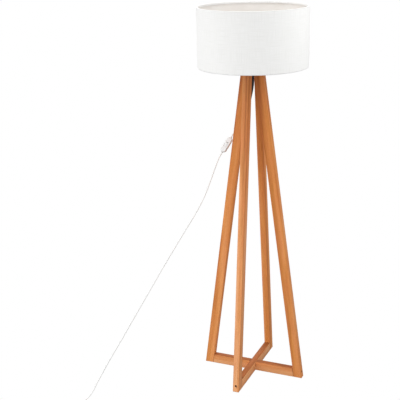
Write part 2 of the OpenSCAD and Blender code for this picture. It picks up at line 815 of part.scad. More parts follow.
leg(0);  // leg_right
leg(1);  // leg_back
leg(2);  // leg_left
leg(3);  // leg_front
crossbar_lower();
crossbar_upper();
foot_screws();
foot_dowels();
cross_screw();
hub_block();
hub_screws();
threaded_tube();
tube_nuts();
tube_washers();
cord_gland();
strain_relief();
cord_sleeve();
inner_cord();
inner_cores();
holder_cap();
holder_body();
holder_insert();
holder_contacts();
terminal_screws();
ring_seat();
clamp_ring();
bulb_cap();
bulb_tip();
bulb_collar();
led_board();
bulb_globe();
shade_fabric();
shade_lining();
shade_hem_top();
shade_hem_bottom();
shade_ring_top();
shade_ring_bottom();
shade_spider();
cord_upper();
cord_lower();
cord_coil();
coil_tie();
cord_tail();
switch_base();
switch_cover();
switch_rocker();
switch_screws();
switch_contacts();
plug_body();
plug_pins();
plug_relief();
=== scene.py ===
"""Looks for a four-legged wooden floor lamp with a white drum shade and an in-line rocker switch.

Everything is in metres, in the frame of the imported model: the origin is on the floor on the lamp's
vertical axis, +Z is up, the lower floor bar runs along X and the upper one along Y.
"""

from __future__ import annotations

import logging
import math
from collections.abc import Callable, Sequence
from dataclasses import dataclass
from enum import Enum

import bmesh
import bpy
from mathutils import Matrix, Vector


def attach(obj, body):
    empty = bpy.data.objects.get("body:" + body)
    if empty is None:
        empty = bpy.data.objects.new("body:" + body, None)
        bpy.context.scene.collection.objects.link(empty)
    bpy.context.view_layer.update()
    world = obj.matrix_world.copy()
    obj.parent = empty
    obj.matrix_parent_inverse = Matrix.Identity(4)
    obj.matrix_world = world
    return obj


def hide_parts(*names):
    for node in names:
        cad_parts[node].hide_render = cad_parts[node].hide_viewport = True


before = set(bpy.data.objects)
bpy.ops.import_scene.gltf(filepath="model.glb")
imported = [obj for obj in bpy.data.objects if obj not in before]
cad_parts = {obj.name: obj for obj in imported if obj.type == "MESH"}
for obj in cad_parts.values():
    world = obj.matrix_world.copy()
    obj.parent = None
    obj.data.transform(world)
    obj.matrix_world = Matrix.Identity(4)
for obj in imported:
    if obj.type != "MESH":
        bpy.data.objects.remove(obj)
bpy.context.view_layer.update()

log = logging.getLogger("floor_lamp")
Profile = list[tuple[float, float]]
Point = tuple[float, float, float]
MM = 0.001
METRE_MM = 1000.0
TAU = 2 * math.pi
# Edges that turn by more than this many degrees stay crisp.
CRISP_DEG = 32.0
# Where most of a noise factor lies, as inputs of a Map Range node.
NOISE_SPAN = {"From Min": 0.3, "From Max": 0.7}
# Bands that a wave texture of scale 1 draws in one unit.
WAVE_BANDS = 20


class Body(Enum):
    """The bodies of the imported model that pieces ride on."""

    FRAME = "frame"
    SHADE = "shade"
    CLAMP = "clamp"
    BULB = "bulb"
    ROCKER = "rocker"


# ---------------------------------------------------------------- nodes and colours


def linear(colour: str) -> tuple[float, float, float, float]:
    """Turns an sRGB hex colour into linear RGBA."""
    parts = [int(colour[i : i + 2], 16) / 255 for i in (1, 3, 5)]
    red, green, blue = (c / 12.92 if c <= 0.04045 else ((c + 0.055) / 1.055) ** 2.4 for c in parts)
    return (red, green, blue, 1.0)


def add_node(
    tree: bpy.types.NodeTree,
    kind: str,
    values: dict | None = None,
    links: dict | None = None,
    stops: Sequence[tuple[float, str]] = (),
    **settings: object,
) -> bpy.types.Node:
    """Adds one node to a shader or geometry tree.

    Args:
        tree: The tree that takes the node.
        kind: The node's type name.
        values: Input name or index to the constant it holds.
        links: Input name or index to the socket that feeds it.
        stops: A colour ramp's stops, each a position and an sRGB hex colour.
        **settings: Attributes of the node itself.

    Returns:
        The new node.
    """
    node = tree.nodes.new(kind)
    for key, value in settings.items():
        setattr(node, key, value)
    for key, value in (values or {}).items():
        node.inputs[key].default_value = value
    for key, socket in (links or {}).items():
        tree.links.new(socket, node.inputs[key])
    if stops:
        elements = node.color_ramp.elements
        while len(elements) < len(stops):
            elements.new(0.5)
        for element, (position, colour) in zip(elements, stops):
            element.position = position
            element.color = linear(colour)
    return node


def shader(name: str) -> tuple[bpy.types.Material, bpy.types.NodeTree, bpy.types.Node]:
    """Makes an empty material with a Principled shader wired to its output.

    Args:
        name: The material's name.

    Returns:
        The material, its node tree and the Principled node.
    """
    material = bpy.data.materials.new(name)
    material.use_nodes = True
    tree = material.node_tree
    tree.nodes.clear()
    skin = add_node(tree, "ShaderNodeBsdfPrincipled")
    add_node(tree, "ShaderNodeOutputMaterial", links={"Surface": skin.outputs["BSDF"]})
    return material, tree, skin


def stretched_noise(
    tree: bpy.types.NodeTree,
    vector: bpy.types.NodeSocket,
    lump_mm: Point,
    detail: float = 2.0,
    rough: float = 0.5,
) -> bpy.types.NodeSocket:
    """Lays fractal noise with its own size of lump along each axis.

    Args:
        tree: The tree to add to.
        vector: Coordinates in metres.
        lump_mm: Size of a lump along X, Y and Z, in millimetres.
        detail: Octaves beyond the first.
        rough: How strong the finer octaves are.

    Returns:
        The factor socket, about 0.5 on average.
    """
    stretch = add_node(
        tree,
        "ShaderNodeMapping",
        values={"Scale": tuple(METRE_MM / size for size in lump_mm)},
        links={"Vector": vector},
    )
    lumps = add_node(
        tree,
        "ShaderNodeTexNoise",
        values={"Scale": 1.0, "Detail": detail, "Roughness": rough},
        links={"Vector": stretch.outputs["Vector"]},
    )
    return lumps.outputs["Fac"]


def touch(
    tree: bpy.types.NodeTree,
    skin: bpy.types.Node,
    grain: bpy.types.NodeSocket,
    rough: tuple[float, float],
    depth_mm: float,
    strength: float,
) -> None:
    """Lets one fine pattern drive a finish's roughness and its bump.

    Args:
        tree: The tree to add to.
        skin: The Principled node.
        grain: The pattern.
        rough: Roughness in the pattern's hollows and on its crests.
        depth_mm: Height of the crests.
        strength: How strongly the bump shows.
    """
    matt = add_node(
        tree,
        "ShaderNodeMapRange",
        values=NOISE_SPAN | {"To Min": rough[0], "To Max": rough[1]},
        links={"Value": grain},
    )
    bump = add_node(
        tree,
        "ShaderNodeBump",
        values={"Strength": strength, "Distance": depth_mm * MM},
        links={"Height": grain},
    )
    tree.links.new(matt.outputs["Result"], skin.inputs["Roughness"])
    tree.links.new(bump.outputs["Normal"], skin.inputs["Normal"])


# ---------------------------------------------------------------- finishes


@dataclass(frozen=True)
class OiledRubberwood:
    """Planed rubberwood under a thin oil: straight warm grain with a satin face.

    Sizes across the grain end in _mm and sizes along it in _run_mm. A share says how much of a
    pattern shows over what lies under it.
    """

    name: str
    pale: str
    mid: str
    deep: str
    streak_mm: float = 13.0
    streak_run_mm: float = 330.0
    ring_mm: float = 7.0
    ring_stretch: float = 0.06
    ring_share: float = 0.3
    fibre_mm: float = 1.1
    fibre_run_mm: float = 45.0
    fibre_share: float = 0.22
    fibre_deep_mm: float = 0.12
    # Painted shadow of the lampshade: the boards darken from one height to another, towards the top,
    # by this much tone.
    lampshade_shadow_from: float = 0.55
    lampshade_shadow_to: float = 1.36
    lampshade_shadow_tone: float = 0.0
    # Painted shade: faces that look along the chosen axis, either way round, are darker by this much
    # tone, as if less light reached them.
    painted_face_shade_tone: float = 0.1
    blush: str = "#d9814f"
    blush_mm: float = 19.0
    blush_run_mm: float = 120.0
    blush_share: float = 0.45
    pore_mm: float = 0.8
    pore_run_mm: float = 7.0
    pore_share: float = 0.4
    end_grain: str = "#5f3417"
    end_share: float = 0.9

    @staticmethod
    def looking(
        tree: bpy.types.NodeTree,
        normal: bpy.types.NodeSocket,
        way: Point,
        start: float,
        most: float,
    ) -> bpy.types.NodeSocket:
        """Finds the faces that look along an axis, either way.

        Args:
            tree: The tree to add to.
            normal: The surface's normal in the lamp's axes.
            way: The axis.
            start: How closely a face has to look along it to count, as a cosine.
            most: What a face that looks straight along it gets.

        Returns:
            The socket, from 0 to most.
        """
        across = add_node(
            tree,
            "ShaderNodeVectorMath",
            values={1: way},
            links={0: normal},
            operation="DOT_PRODUCT",
        )
        facing = add_node(
            tree, "ShaderNodeMath", links={0: across.outputs["Value"]}, operation="ABSOLUTE"
        )
        return add_node(
            tree,
            "ShaderNodeMapRange",
            values={"From Min": start, "From Max": start + 0.3, "To Max": most},
            links={"Value": facing.outputs["Value"]},
        ).outputs["Result"]

    def grain(
        self, tree: bpy.types.NodeTree, along: bpy.types.NodeSocket
    ) -> tuple[bpy.types.NodeSocket, bpy.types.NodeSocket]:
        """Mixes streaks, growth rings and fibres.

        Args:
            tree: The tree to add to.
            along: Coordinates in metres with Z along the grain.

        Returns:
            The wood's tone, and its fibres alone.
        """
        streak, fibre = self.streak_mm, self.fibre_mm
        tone = stretched_noise(tree, along, (streak, streak, self.streak_run_mm), 3.0, 0.55)
        fibres = stretched_noise(tree, along, (fibre, fibre, self.fibre_run_mm), 1.0)
        flat = add_node(
            tree,
            "ShaderNodeMapping",
            values={"Scale": (1.0, 1.0, self.ring_stretch)},
            links={"Vector": along},
        )
        rings = add_node(
            tree,
            "ShaderNodeTexWave",
            wave_type="RINGS",
            rings_direction="Z",
            values={
                "Scale": METRE_MM / self.ring_mm / WAVE_BANDS,
                "Distortion": 2.5,
                "Detail": 2.0,
                "Detail Scale": 6.0,
            },
            links={"Vector": flat.outputs["Vector"]},
        ).outputs["Fac"]
        for share, layer in ((self.ring_share, rings), (self.fibre_share, fibres)):
            tone = add_node(
                tree,
                "ShaderNodeMix",
                values={0: share},
                links={2: tone, 3: layer},
                data_type="FLOAT",
            ).outputs[0]
        return tone, fibres

    def build(self, piece: str, turn: Matrix, shift: Point, shaded_way: Point) -> bpy.types.Material:
        """Makes this wood for one timber, with the grain along it.

        Args:
            piece: Name of the timber.
            turn: Turns the lamp's axes so that Z runs along the grain.
            shift: Moves the pattern, so that no two timbers match.
            shaded_way: The axis; faces that look along it, either way round, get painted shade.

        Returns:
            The material.
        """
        material, tree, skin = shader(f"{self.name}_{piece}")
        spot = add_node(tree, "ShaderNodeTexCoord").outputs
        along = add_node(
            tree,
            "ShaderNodeMapping",
            values={"Rotation": turn.to_euler("XYZ"), "Location": shift},
            links={"Vector": spot["Object"]},
        ).outputs["Vector"]
        tone, fibres = self.grain(tree, along)

        height = add_node(tree, "ShaderNodeSeparateXYZ", links={"Vector": spot["Object"]})
        # Painted shadow of the lampshade: darker towards the top of the legs.
        painted_lampshade_shadow = add_node(
            tree,
            "ShaderNodeMapRange",
            values={"From Min": self.lampshade_shadow_from, "From Max": self.lampshade_shadow_to, "To Max": self.lampshade_shadow_tone},
            links={"Value": height.outputs["Z"]},
            interpolation_type="SMOOTHSTEP",
        ).outputs["Result"]
        # Painted shade on the faces that look along the chosen axis.
        painted_face_shade = self.looking(tree, spot["Normal"], shaded_way, 0.6, self.painted_face_shade_tone)
        for darker in (painted_lampshade_shadow, painted_face_shade):
            tone = add_node(
                tree, "ShaderNodeMath", links={0: tone, 1: darker}, operation="SUBTRACT"
            ).outputs["Value"]
        colour = add_node(
            tree,
            "ShaderNodeValToRGB",
            links={"Fac": tone},
            stops=[(0.12, self.deep), (0.4, self.mid), (0.62, self.pale), (0.9, self.pale)],
        ).outputs["Color"]

        layers = []
        few = {"From Min": 0.67, "From Max": 0.76}
        for over, size, run, detail, span, share in (
            (self.blush, self.blush_mm, self.blush_run_mm, 2.0, NOISE_SPAN, self.blush_share),
            (self.deep, self.pore_mm, self.pore_run_mm, 0.0, few, self.pore_share),
        ):
            lumps = stretched_noise(tree, along, (size, size, run), detail)
            marks = add_node(
                tree, "ShaderNodeMapRange", values=span | {"To Max": share}, links={"Value": lumps}
            )
            layers.append((over, marks.outputs["Result"]))
        grain_way = tuple(turn.inverted() @ Vector((0, 0, 1)))
        ends = self.looking(tree, spot["Normal"], grain_way, 0.25, self.end_share)
        for over, share in (*layers, (self.end_grain, ends)):
            colour = add_node(
                tree,
                "ShaderNodeMix",
                values={7: linear(over)},
                links={0: share, 6: colour},
                data_type="RGBA",
            ).outputs[2]
        tree.links.new(colour, skin.inputs["Base Color"])
        touch(tree, skin, fibres, (0.52, 0.68), self.fibre_deep_mm, 0.5)
        skin.inputs["IOR"].default_value = 1.48
        skin.inputs["Specular IOR Level"].default_value = 0.25
        return material


@dataclass(frozen=True)
class Finish:
    """A finish that is made once and shared by every piece that has it."""

    name: str

    def build(self) -> bpy.types.Material:
        """Makes the material once and hands back the same one after that."""
        if self.name in bpy.data.materials:
            return bpy.data.materials[self.name]
        material, tree, skin = shader(self.name)
        self.paint(tree, skin)
        return material

    def paint(self, tree: bpy.types.NodeTree, skin: bpy.types.Node) -> None:
        """Wires the finish's own patterns into the Principled shader."""
        raise NotImplementedError


@dataclass(frozen=True)
class Moulded(Finish):
    """A moulded, extruded, coated or fired skin: one colour, faintly clouded, finely grained."""

    colour: str
    shade: str
    rough: float
    grain_mm: float
    depth_mm: float
    ior: float = 1.49
    cloud_mm: float = 40.0

    def paint(self, tree: bpy.types.NodeTree, skin: bpy.types.Node) -> None:
        """Clouds the colour and grains the surface."""
        place = add_node(tree, "ShaderNodeTexCoord").outputs["Object"]
        clouds = stretched_noise(tree, place, (self.cloud_mm,) * 3)
        grain = stretched_noise(tree, place, (self.grain_mm,) * 3, 1.0)
        colour = add_node(
            tree,
            "ShaderNodeValToRGB",
            links={"Fac": clouds},
            stops=[(0.3, self.shade), (0.6, self.colour)],
        )
        tree.links.new(colour.outputs["Color"], skin.inputs["Base Color"])
        rough = (self.rough * 0.88, min(1.0, self.rough * 1.12))
        touch(tree, skin, grain, rough, self.depth_mm, 0.4)
        skin.inputs["IOR"].default_value = self.ior


@dataclass(frozen=True)
class Metal(Finish):
    """Drawn, rolled or stamped metal: fine tool lines one way and slightly cloudy plating."""

    colour: str
    dull: str
    rough: float
    line_mm: float = 0.4
    line_run_mm: float = 12.0
    depth_mm: float = 0.01
    cloud_mm: float = METRE_MM / 90

    def paint(self, tree: bpy.types.NodeTree, skin: bpy.types.Node) -> None:
        """Clouds the plating and draws the tool lines."""
        place = add_node(tree, "ShaderNodeTexCoord").outputs["Object"]
        run = self.line_run_mm
        lines = stretched_noise(tree, place, (run, run, self.line_mm), 1.0)
        clouds = stretched_noise(tree, place, (self.cloud_mm,) * 3)
        colour = add_node(
            tree,
            "ShaderNodeValToRGB",
            links={"Fac": clouds},
            stops=[(0.35, self.dull), (0.6, self.colour)],
        )
        tree.links.new(colour.outputs["Color"], skin.inputs["Base Color"])
        touch(tree, skin, lines, (self.rough * 0.8, self.rough * 1.25), self.depth_mm, 0.35)
        skin.inputs["Metallic"].default_value = 1.0


@dataclass(frozen=True)
class WovenCotton(Finish):
    """Plain-weave cotton glued over film: an even matt white with faint thicker threads.

    The threads of the real cloth lie 0.5 mm apart; they are drawn 1.4 mm apart so that they show.
    """

    colour: str
    shade: str
    thread_mm: float = 1.4
    slub_mm: float = 2.2
    slub_run_mm: float = 70.0
    depth_mm: float = 0.07
    rough: float = 0.92
    specular: float = 0.2
    sheen: float = 0.35
    sheen_rough: float = 0.4

    def paint(self, tree: bpy.types.NodeTree, skin: bpy.types.Node) -> None:
        """Weaves the threads and thickens some of them."""
        cloth = add_node(tree, "ShaderNodeTexCoord").outputs["UV"]
        threads = []
        for way in ("X", "Y"):
            wave = add_node(
                tree,
                "ShaderNodeTexWave",
                wave_type="BANDS",
                bands_direction=way,
                values={
                    "Scale": METRE_MM / self.thread_mm / WAVE_BANDS,
                    "Distortion": 0.6,
                    "Detail": 1.0,
                    "Detail Scale": 0.3,
                },
                links={"Vector": cloth},
            )
            threads.append(wave.outputs["Fac"])
        weave = add_node(
            tree, "ShaderNodeMath", links={0: threads[0], 1: threads[1]}, operation="MULTIPLY"
        )
        wide, run = self.slub_mm, self.slub_run_mm
        weft = stretched_noise(tree, cloth, (run, wide, METRE_MM), 1.0)
        warp = stretched_noise(tree, cloth, (wide, run, METRE_MM), 1.0)
        slubs = add_node(
            tree, "ShaderNodeMath", links={0: weft, 1: warp}, operation="MAXIMUM"
        ).outputs["Value"]
        colour = add_node(
            tree,
            "ShaderNodeValToRGB",
            links={"Fac": slubs},
            stops=[(0.4, self.colour), (0.75, self.shade)],
        )
        relief = add_node(
            tree,
            "ShaderNodeMix",
            values={0: 0.5},
            links={2: weave.outputs["Value"], 3: slubs},
            data_type="FLOAT",
        )
        bump = add_node(
            tree,
            "ShaderNodeBump",
            values={"Strength": 0.5, "Distance": self.depth_mm * MM},
            links={"Height": relief.outputs[0]},
        )
        tree.links.new(colour.outputs["Color"], skin.inputs["Base Color"])
        tree.links.new(bump.outputs["Normal"], skin.inputs["Normal"])
        skin.inputs["Roughness"].default_value = self.rough
        skin.inputs["Specular IOR Level"].default_value = self.specular
        skin.inputs["Sheen Weight"].default_value = self.sheen
        skin.inputs["Sheen Roughness"].default_value = self.sheen_rough


class Wood(Enum):
    """The cuts of rubberwood in the lamp."""

    # Planed and oiled: pale flanks with warm brown streaks along the leg, darkened towards the top
    # by painted shadow of the lampshade.
    LEG = OiledRubberwood("oiled_rubberwood_leg", "#f1a768", "#db8f49", "#aa6028", lampshade_shadow_tone=0.17)
    # The front leg's board is paler, and a stronger painted shadow of the lampshade darkens it
    # towards the top.
    PALE_LEG = OiledRubberwood("oiled_rubberwood_pale", "#f3b787", "#de9a5f", "#ad6731", lampshade_shadow_tone=0.3)
    # The floor bars are cut from slightly darker boards, and their tops get strong painted shade.
    BAR = OiledRubberwood("oiled_rubberwood_bar", "#e9ab76", "#d59156", "#8a4d1c", painted_face_shade_tone=0.55)
    # The hub block is planed and left bare, so it is drier and duller.
    HUB = OiledRubberwood("bare_rubberwood_hub", "#cda173", "#b98a5a", "#93683f")


# Fluted beech dowel, turned and bare.
DOWEL = Moulded("turned_beech_dowel", "#d9b88a", "#c9a373", 0.7, 0.6, 0.08, cloud_mm=8)
# Wood-screw steel, black oxide: dark with a dry gleam.
BLACK_STEEL = Metal("black_oxide_steel", "#4b4744", "#2e2b29", 0.48)
# Zinc-plated steel: cool grey with a soft shine.
ZINC = Metal("zinc_plated_steel", "#c4c7cb", "#a9acb0", 0.36)
# Glass-filled nylon gland: matt black, slightly grainy.
NYLON = Moulded("moulded_black_nylon", "#1b1b1d", "#131315", 0.55, 0.5, 0.03)
# Flexible black PVC of the strain relief and sleeve: black with a broad soft gleam.
BLACK_PVC = Moulded("flexible_black_pvc", "#1e1e20", "#151517", 0.5, 0.8, 0.02)
# Brown PVC insulation of a wire core.
CORE = Moulded("brown_pvc_insulation", "#7a4a2a", "#69401f", 0.45, 0.4, 0.01)
# White thermoplastic of the lampholder: bright, satin, faintly waved by the mould.
HOLDER_WHITE = Moulded("moulded_white_thermoplastic", "#f1f1ee", "#e9e9e5", 0.38, 0.7, 0.02)
# Steatite insert, fired and unglazed: off-white and dry.
STEATITE = Moulded("fired_steatite", "#e8e2d4", "#dcd4c2", 0.75, 0.5, 0.05, ior=1.6)
# Stamped brass contacts: yellow with fine press lines.
BRASS = Metal("stamped_brass", "#d8b25e", "#b98f42", 0.34)
# Rolled aluminium of the screw cap: bright grey, drawn lines round the thread.
CAP_METAL = Metal("rolled_aluminium", "#d3d5d8", "#b6b9bd", 0.3)
# Black glass insulator of the bulb's tip.
TIP_GLASS = Moulded("black_glass", "#17171a", "#101012", 0.15, 1.0, 0.005, ior=1.52)
# White polycarbonate collar of the bulb.
COLLAR = Moulded("moulded_white_polycarbonate", "#f3f3f1", "#ebebe8", 0.42, 0.8, 0.02, ior=1.58)
# Printed board with white solder mask.
BOARD = Moulded("white_solder_mask", "#ebebe4", "#e0e0d8", 0.5, 0.5, 0.02)
# Opal polycarbonate globe: milky, softly shining.
OPAL = Moulded("opal_polycarbonate", "#f7f7f3", "#f1f1ec", 0.3, 1.5, 0.004, ior=1.58)
# Outer cloth of the shade.
COTTON = WovenCotton("plain_weave_cotton", "#f5f5f4", "#eeeeec")
# Turned-in edge of the same cloth, drawn tight over the wire.
HEM = WovenCotton("turned_cotton_edge", "#f4f4f3", "#ebebe9", thread_mm=1.2)
# Styrene film that backs the cloth: warm white, satin, smooth.
FILM = Moulded("laminated_styrene_film", "#f5f2ee", "#efebe6", 0.55, 1.2, 0.01, cloud_mm=120)
# Powder-coated steel wire: white with an orange-peel skin.
POWDER = Moulded("powder_coated_wire", "#efefed", "#e6e6e3", 0.4, 0.9, 0.04)
# White PVC sheath of the cord, extruded: smooth, satin.
SHEATH = Moulded("extruded_white_pvc", "#efefee", "#e9e9e8", 0.42, 1.0, 0.01)
# White ABS of the switch shells, moulded with a fine spark texture.
ABS = Moulded("spark_textured_abs", "#e9e9e9", "#e2e2e2", 0.5, 0.6, 0.05)
# Glossier ABS of the rocker, worn smooth by fingers.
ABS_GLOSS = Moulded("polished_abs", "#f0f0f0", "#eaeaea", 0.25, 1.0, 0.01)
# White PVC moulded over the plug.
PLUG_PVC = Moulded("overmoulded_white_pvc", "#efefec", "#e6e6e2", 0.48, 0.6, 0.04)
# Nickel-plated plug pins.
NICKEL = Metal("nickel_plated_brass", "#d2d0ca", "#b9b6ae", 0.22)
# Milky polyethylene tie round the coil.
TIE = Moulded("moulded_polyethylene", "#dededb", "#d2d2ce", 0.5, 0.8, 0.02)


# ---------------------------------------------------------------- mesh helpers


def dress(
    obj: bpy.types.Object,
    material: bpy.types.Material,
    body: Body,
    replaces: Sequence[str] = (),
) -> bpy.types.Object:
    """Gives a finished piece its material and body, and hides the nodes that it stands for."""
    obj.data.materials.clear()
    obj.data.materials.append(material)
    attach(obj, body.value)
    if replaces:
        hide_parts(*replaces)
    log.info("%s rides on %s", obj.name, body.value)
    return obj


def link_new(name: str, data: bpy.types.ID) -> bpy.types.Object:
    """Makes an object of its data and puts it in the scene."""
    obj = bpy.data.objects.new(name, data)
    bpy.context.scene.collection.objects.link(obj)
    return obj


def to_object(name: str, bm: bmesh.types.BMesh, sharp_deg: float = CRISP_DEG) -> bpy.types.Object:
    """Turns a bmesh into an object at the origin, smooth but for edges sharper than sharp_deg."""
    mesh = bpy.data.meshes.new(name)
    bm.to_mesh(mesh)
    bm.free()
    if sharp_deg > 0:
        mesh.shade_smooth()
        mesh.set_sharp_from_angle(angle=math.radians(sharp_deg))
    return link_new(name, mesh)


def rounded(corners: Sequence[Point], steps: int = 4, closed: bool = True) -> Profile:
    """Rounds the corners of a flat outline.

    Args:
        corners: Each corner as (x, y, how far along its edges the rounding starts).
        steps: Pieces in each rounded corner.
        closed: Whether the last corner joins the first.

    Returns:
        The outline's points.
    """
    out: Profile = []
    count = len(corners)
    for i, (x, y, reach) in enumerate(corners):
        if reach <= 0 or (not closed and i in (0, count - 1)):
            out.append((x, y))
            continue
        here = Vector((x, y))
        before = Vector(corners[i - 1][:2]) - here
        after = Vector(corners[(i + 1) % count][:2]) - here
        start = here + before.normalized() * reach
        end = here + after.normalized() * reach
        for k in range(steps + 1):
            t = k / steps
            p = start * (1 - t) ** 2 + here * 2 * t * (1 - t) + end * t**2
            out.append((p.x, p.y))
    return out


def lathe(
    name: str,
    profile: Profile,
    segments: int = 64,
    shape: Callable[[float, float, float], float] | None = None,
    sharp_deg: float = CRISP_DEG,
    uv: bool = False,
) -> bpy.types.Object:
    """Turns a profile of (radius, height) round the lamp's axis.

    Args:
        name: The new object's name.
        profile: A closed outline off the axis, or a chain from the axis to the axis.
        segments: Steps round the axis.
        shape: Optional radius from (radius, angle, height).
        sharp_deg: Edges sharper than this stay crisp.
        uv: Whether to lay out a cloth map in metres, round and up.

    Returns:
        The object.
    """
    bm = bmesh.new()
    columns: list[list[bmesh.types.BMVert]] = []
    poles = {i: bm.verts.new((0.0, 0.0, z)) for i, (r, z) in enumerate(profile) if r < 1e-9}
    for s in range(segments):
        a = TAU * s / segments
        column = []
        for i, (r, z) in enumerate(profile):
            if i in poles:
                column.append(poles[i])
                continue
            radius = shape(r, a, z) if shape else r
            column.append(bm.verts.new((radius * math.cos(a), radius * math.sin(a), z)))
        columns.append(column)
    open_chain = bool(poles)
    last = len(profile) - 1 if open_chain else len(profile)
    layer = bm.loops.layers.uv.new("cloth") if uv else None
    for s in range(segments):
        here, there = columns[s], columns[(s + 1) % segments]
        for i in range(last):
            j = (i + 1) % len(profile)
            ring = [here[i], there[i], there[j], here[j]]
            corners = [v for k, v in enumerate(ring) if v not in ring[:k]]
            if len(corners) < 3:
                continue
            face = bm.faces.new(corners)
            if layer:
                for loop in face.loops:
                    r = math.hypot(loop.vert.co.x, loop.vert.co.y)
                    step = s + 1 if loop.vert in (there[i], there[j]) else s
                    loop[layer].uv = (r * TAU * step / segments, loop.vert.co.z)
    bmesh.ops.recalc_face_normals(bm, faces=bm.faces)
    return to_object(name, bm, sharp_deg)


def skin_rings(bm: bmesh.types.BMesh, rings: Sequence[Sequence[Vector]]) -> None:
    """Skins rings of equally many points and closes both ends."""
    rows = [[bm.verts.new(p) for p in ring] for ring in rings]
    count = len(rows[0])
    for low, high in zip(rows, rows[1:]):
        for k in range(count):
            m = (k + 1) % count
            bm.faces.new((low[k], low[m], high[m], high[k]))
    bm.faces.new(list(reversed(rows[0])))
    bm.faces.new(rows[-1])


def loft(
    name: str, rings: Sequence[Sequence[Vector]], sharp_deg: float = CRISP_DEG
) -> bpy.types.Object:
    """Makes an object of one skin over rings."""
    bm = bmesh.new()
    skin_rings(bm, rings)
    bmesh.ops.recalc_face_normals(bm, faces=bm.faces)
    return to_object(name, bm, sharp_deg)


def six_sided(r: float, a: float) -> float:
    """Radius at an angle of a hexagon whose corners lie at r."""
    sixth = TAU / 6
    return r * math.cos(sixth / 2) / math.cos((a % sixth) - sixth / 2)


def scalloped(r: float, phase: float, deep: float) -> float:
    """Radius r with round hollows of a depth, one for each full turn of the phase."""
    return r - deep * (0.5 - 0.5 * math.cos(phase))


def route_curve(name: str, path: Sequence[Vector]) -> bpy.types.Curve:
    """A curve of one open spline through every point of a path."""
    curve = bpy.data.curves.new(name, "CURVE")
    curve.dimensions = "3D"
    line = curve.splines.new("POLY")
    line.points.add(len(path) - 1)
    for point, place in zip(line.points, path):
        point.co = (*place, 1.0)
    line.use_smooth = True
    return curve


def smooth_route(points: Sequence[Vector], steps: int) -> list[Vector]:
    """Runs one smooth curve through the points, with steps pieces between each pair."""
    out: list[Vector] = []
    last = len(points) - 1
    for i in range(last):
        a, b = points[max(i - 1, 0)], points[i]
        c, d = points[i + 1], points[min(i + 2, last)]
        for s in range(steps):
            t = s / steps
            curve = 2 * b + (c - a) * t + (2 * a - 5 * b + 4 * c - d) * t**2
            out.append(0.5 * (curve + (3 * b - a - 3 * c + d) * t**3))
    out.append(points[last])
    return out


def tube_rings(
    path: Sequence[Vector], radii: Sequence[float], sides: int = 20
) -> list[list[Vector]]:
    """Round rings of points across a path, turned with it so that they never twist.

    Args:
        path: Points along the middle.
        radii: Radius at each point.
        sides: Points in each ring.

    Returns:
        One ring for each point.
    """
    rings = []
    side = Vector((0.75, -0.66, 0.02)).normalized()
    for i, (middle, radius) in enumerate(zip(path, radii)):
        way = path[min(i + 1, len(path) - 1)] - path[max(i - 1, 0)]
        way.normalize()
        side = (side - way * side.dot(way)).normalized()
        other = way.cross(side)
        ring = []
        for k in range(sides):
            a = TAU * k / sides
            ring.append(middle + radius * (math.cos(a) * side + math.sin(a) * other))
        rings.append(ring)
    return rings


def merged_copy(node: str) -> bmesh.types.BMesh:
    """A copy of a CAD node's mesh with its triangles joined into flat faces."""
    bm = bmesh.new()
    bm.from_mesh(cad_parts[node].data)
    bmesh.ops.remove_doubles(bm, verts=bm.verts, dist=2e-6)
    bmesh.ops.dissolve_limit(
        bm, angle_limit=math.radians(0.8), verts=bm.verts, edges=bm.edges, delimit={"NORMAL"}
    )
    return bm


def eased_copy(
    node: str,
    name: str,
    offset: float,
    choose: Callable[[bmesh.types.BMEdge], bool],
    segments: int = 3,
    sharp_deg: float = CRISP_DEG,
) -> bpy.types.Object:
    """A copy of a CAD node with chosen sharp edges rounded.

    Args:
        node: The CAD node.
        name: Name of the copy.
        offset: How far the rounding reaches from the edge.
        choose: Says which sharp edges are rounded.
        segments: Faces across each rounding.
        sharp_deg: Edges sharper than this stay crisp.

    Returns:
        The object.
    """
    bm = merged_copy(node)
    edges = [
        e
        for e in bm.edges
        if len(e.link_faces) == 2 and e.calc_face_angle() > math.radians(28) and choose(e)
    ]
    bmesh.ops.bevel(
        bm,
        geom=edges,
        offset=offset,
        segments=segments,
        profile=0.5,
        affect="EDGES",
        clamp_overlap=True,
    )
    return to_object(name, bm, sharp_deg)


def islands(node: str) -> list[tuple[Vector, Vector]]:
    """Lowest and highest corner of each separate solid in a CAD node."""
    bm = merged_copy(node)
    left = set(bm.verts)
    boxes = []
    while left:
        stack = [left.pop()]
        lo, hi = stack[0].co.copy(), stack[0].co.copy()
        while stack:
            vert = stack.pop()
            for axis in range(3):
                lo[axis], hi[axis] = min(lo[axis], vert.co[axis]), max(hi[axis], vert.co[axis])
            for edge in vert.link_edges:
                other = edge.other_vert(vert)
                if other in left:
                    left.remove(other)
                    stack.append(other)
        boxes.append((lo, hi))
    bm.free()
    return sorted(boxes, key=lambda box: (round(box[0].z, 4), math.atan2(box[1].y, box[1].x)))


# ---------------------------------------------------------------- geometry node trees


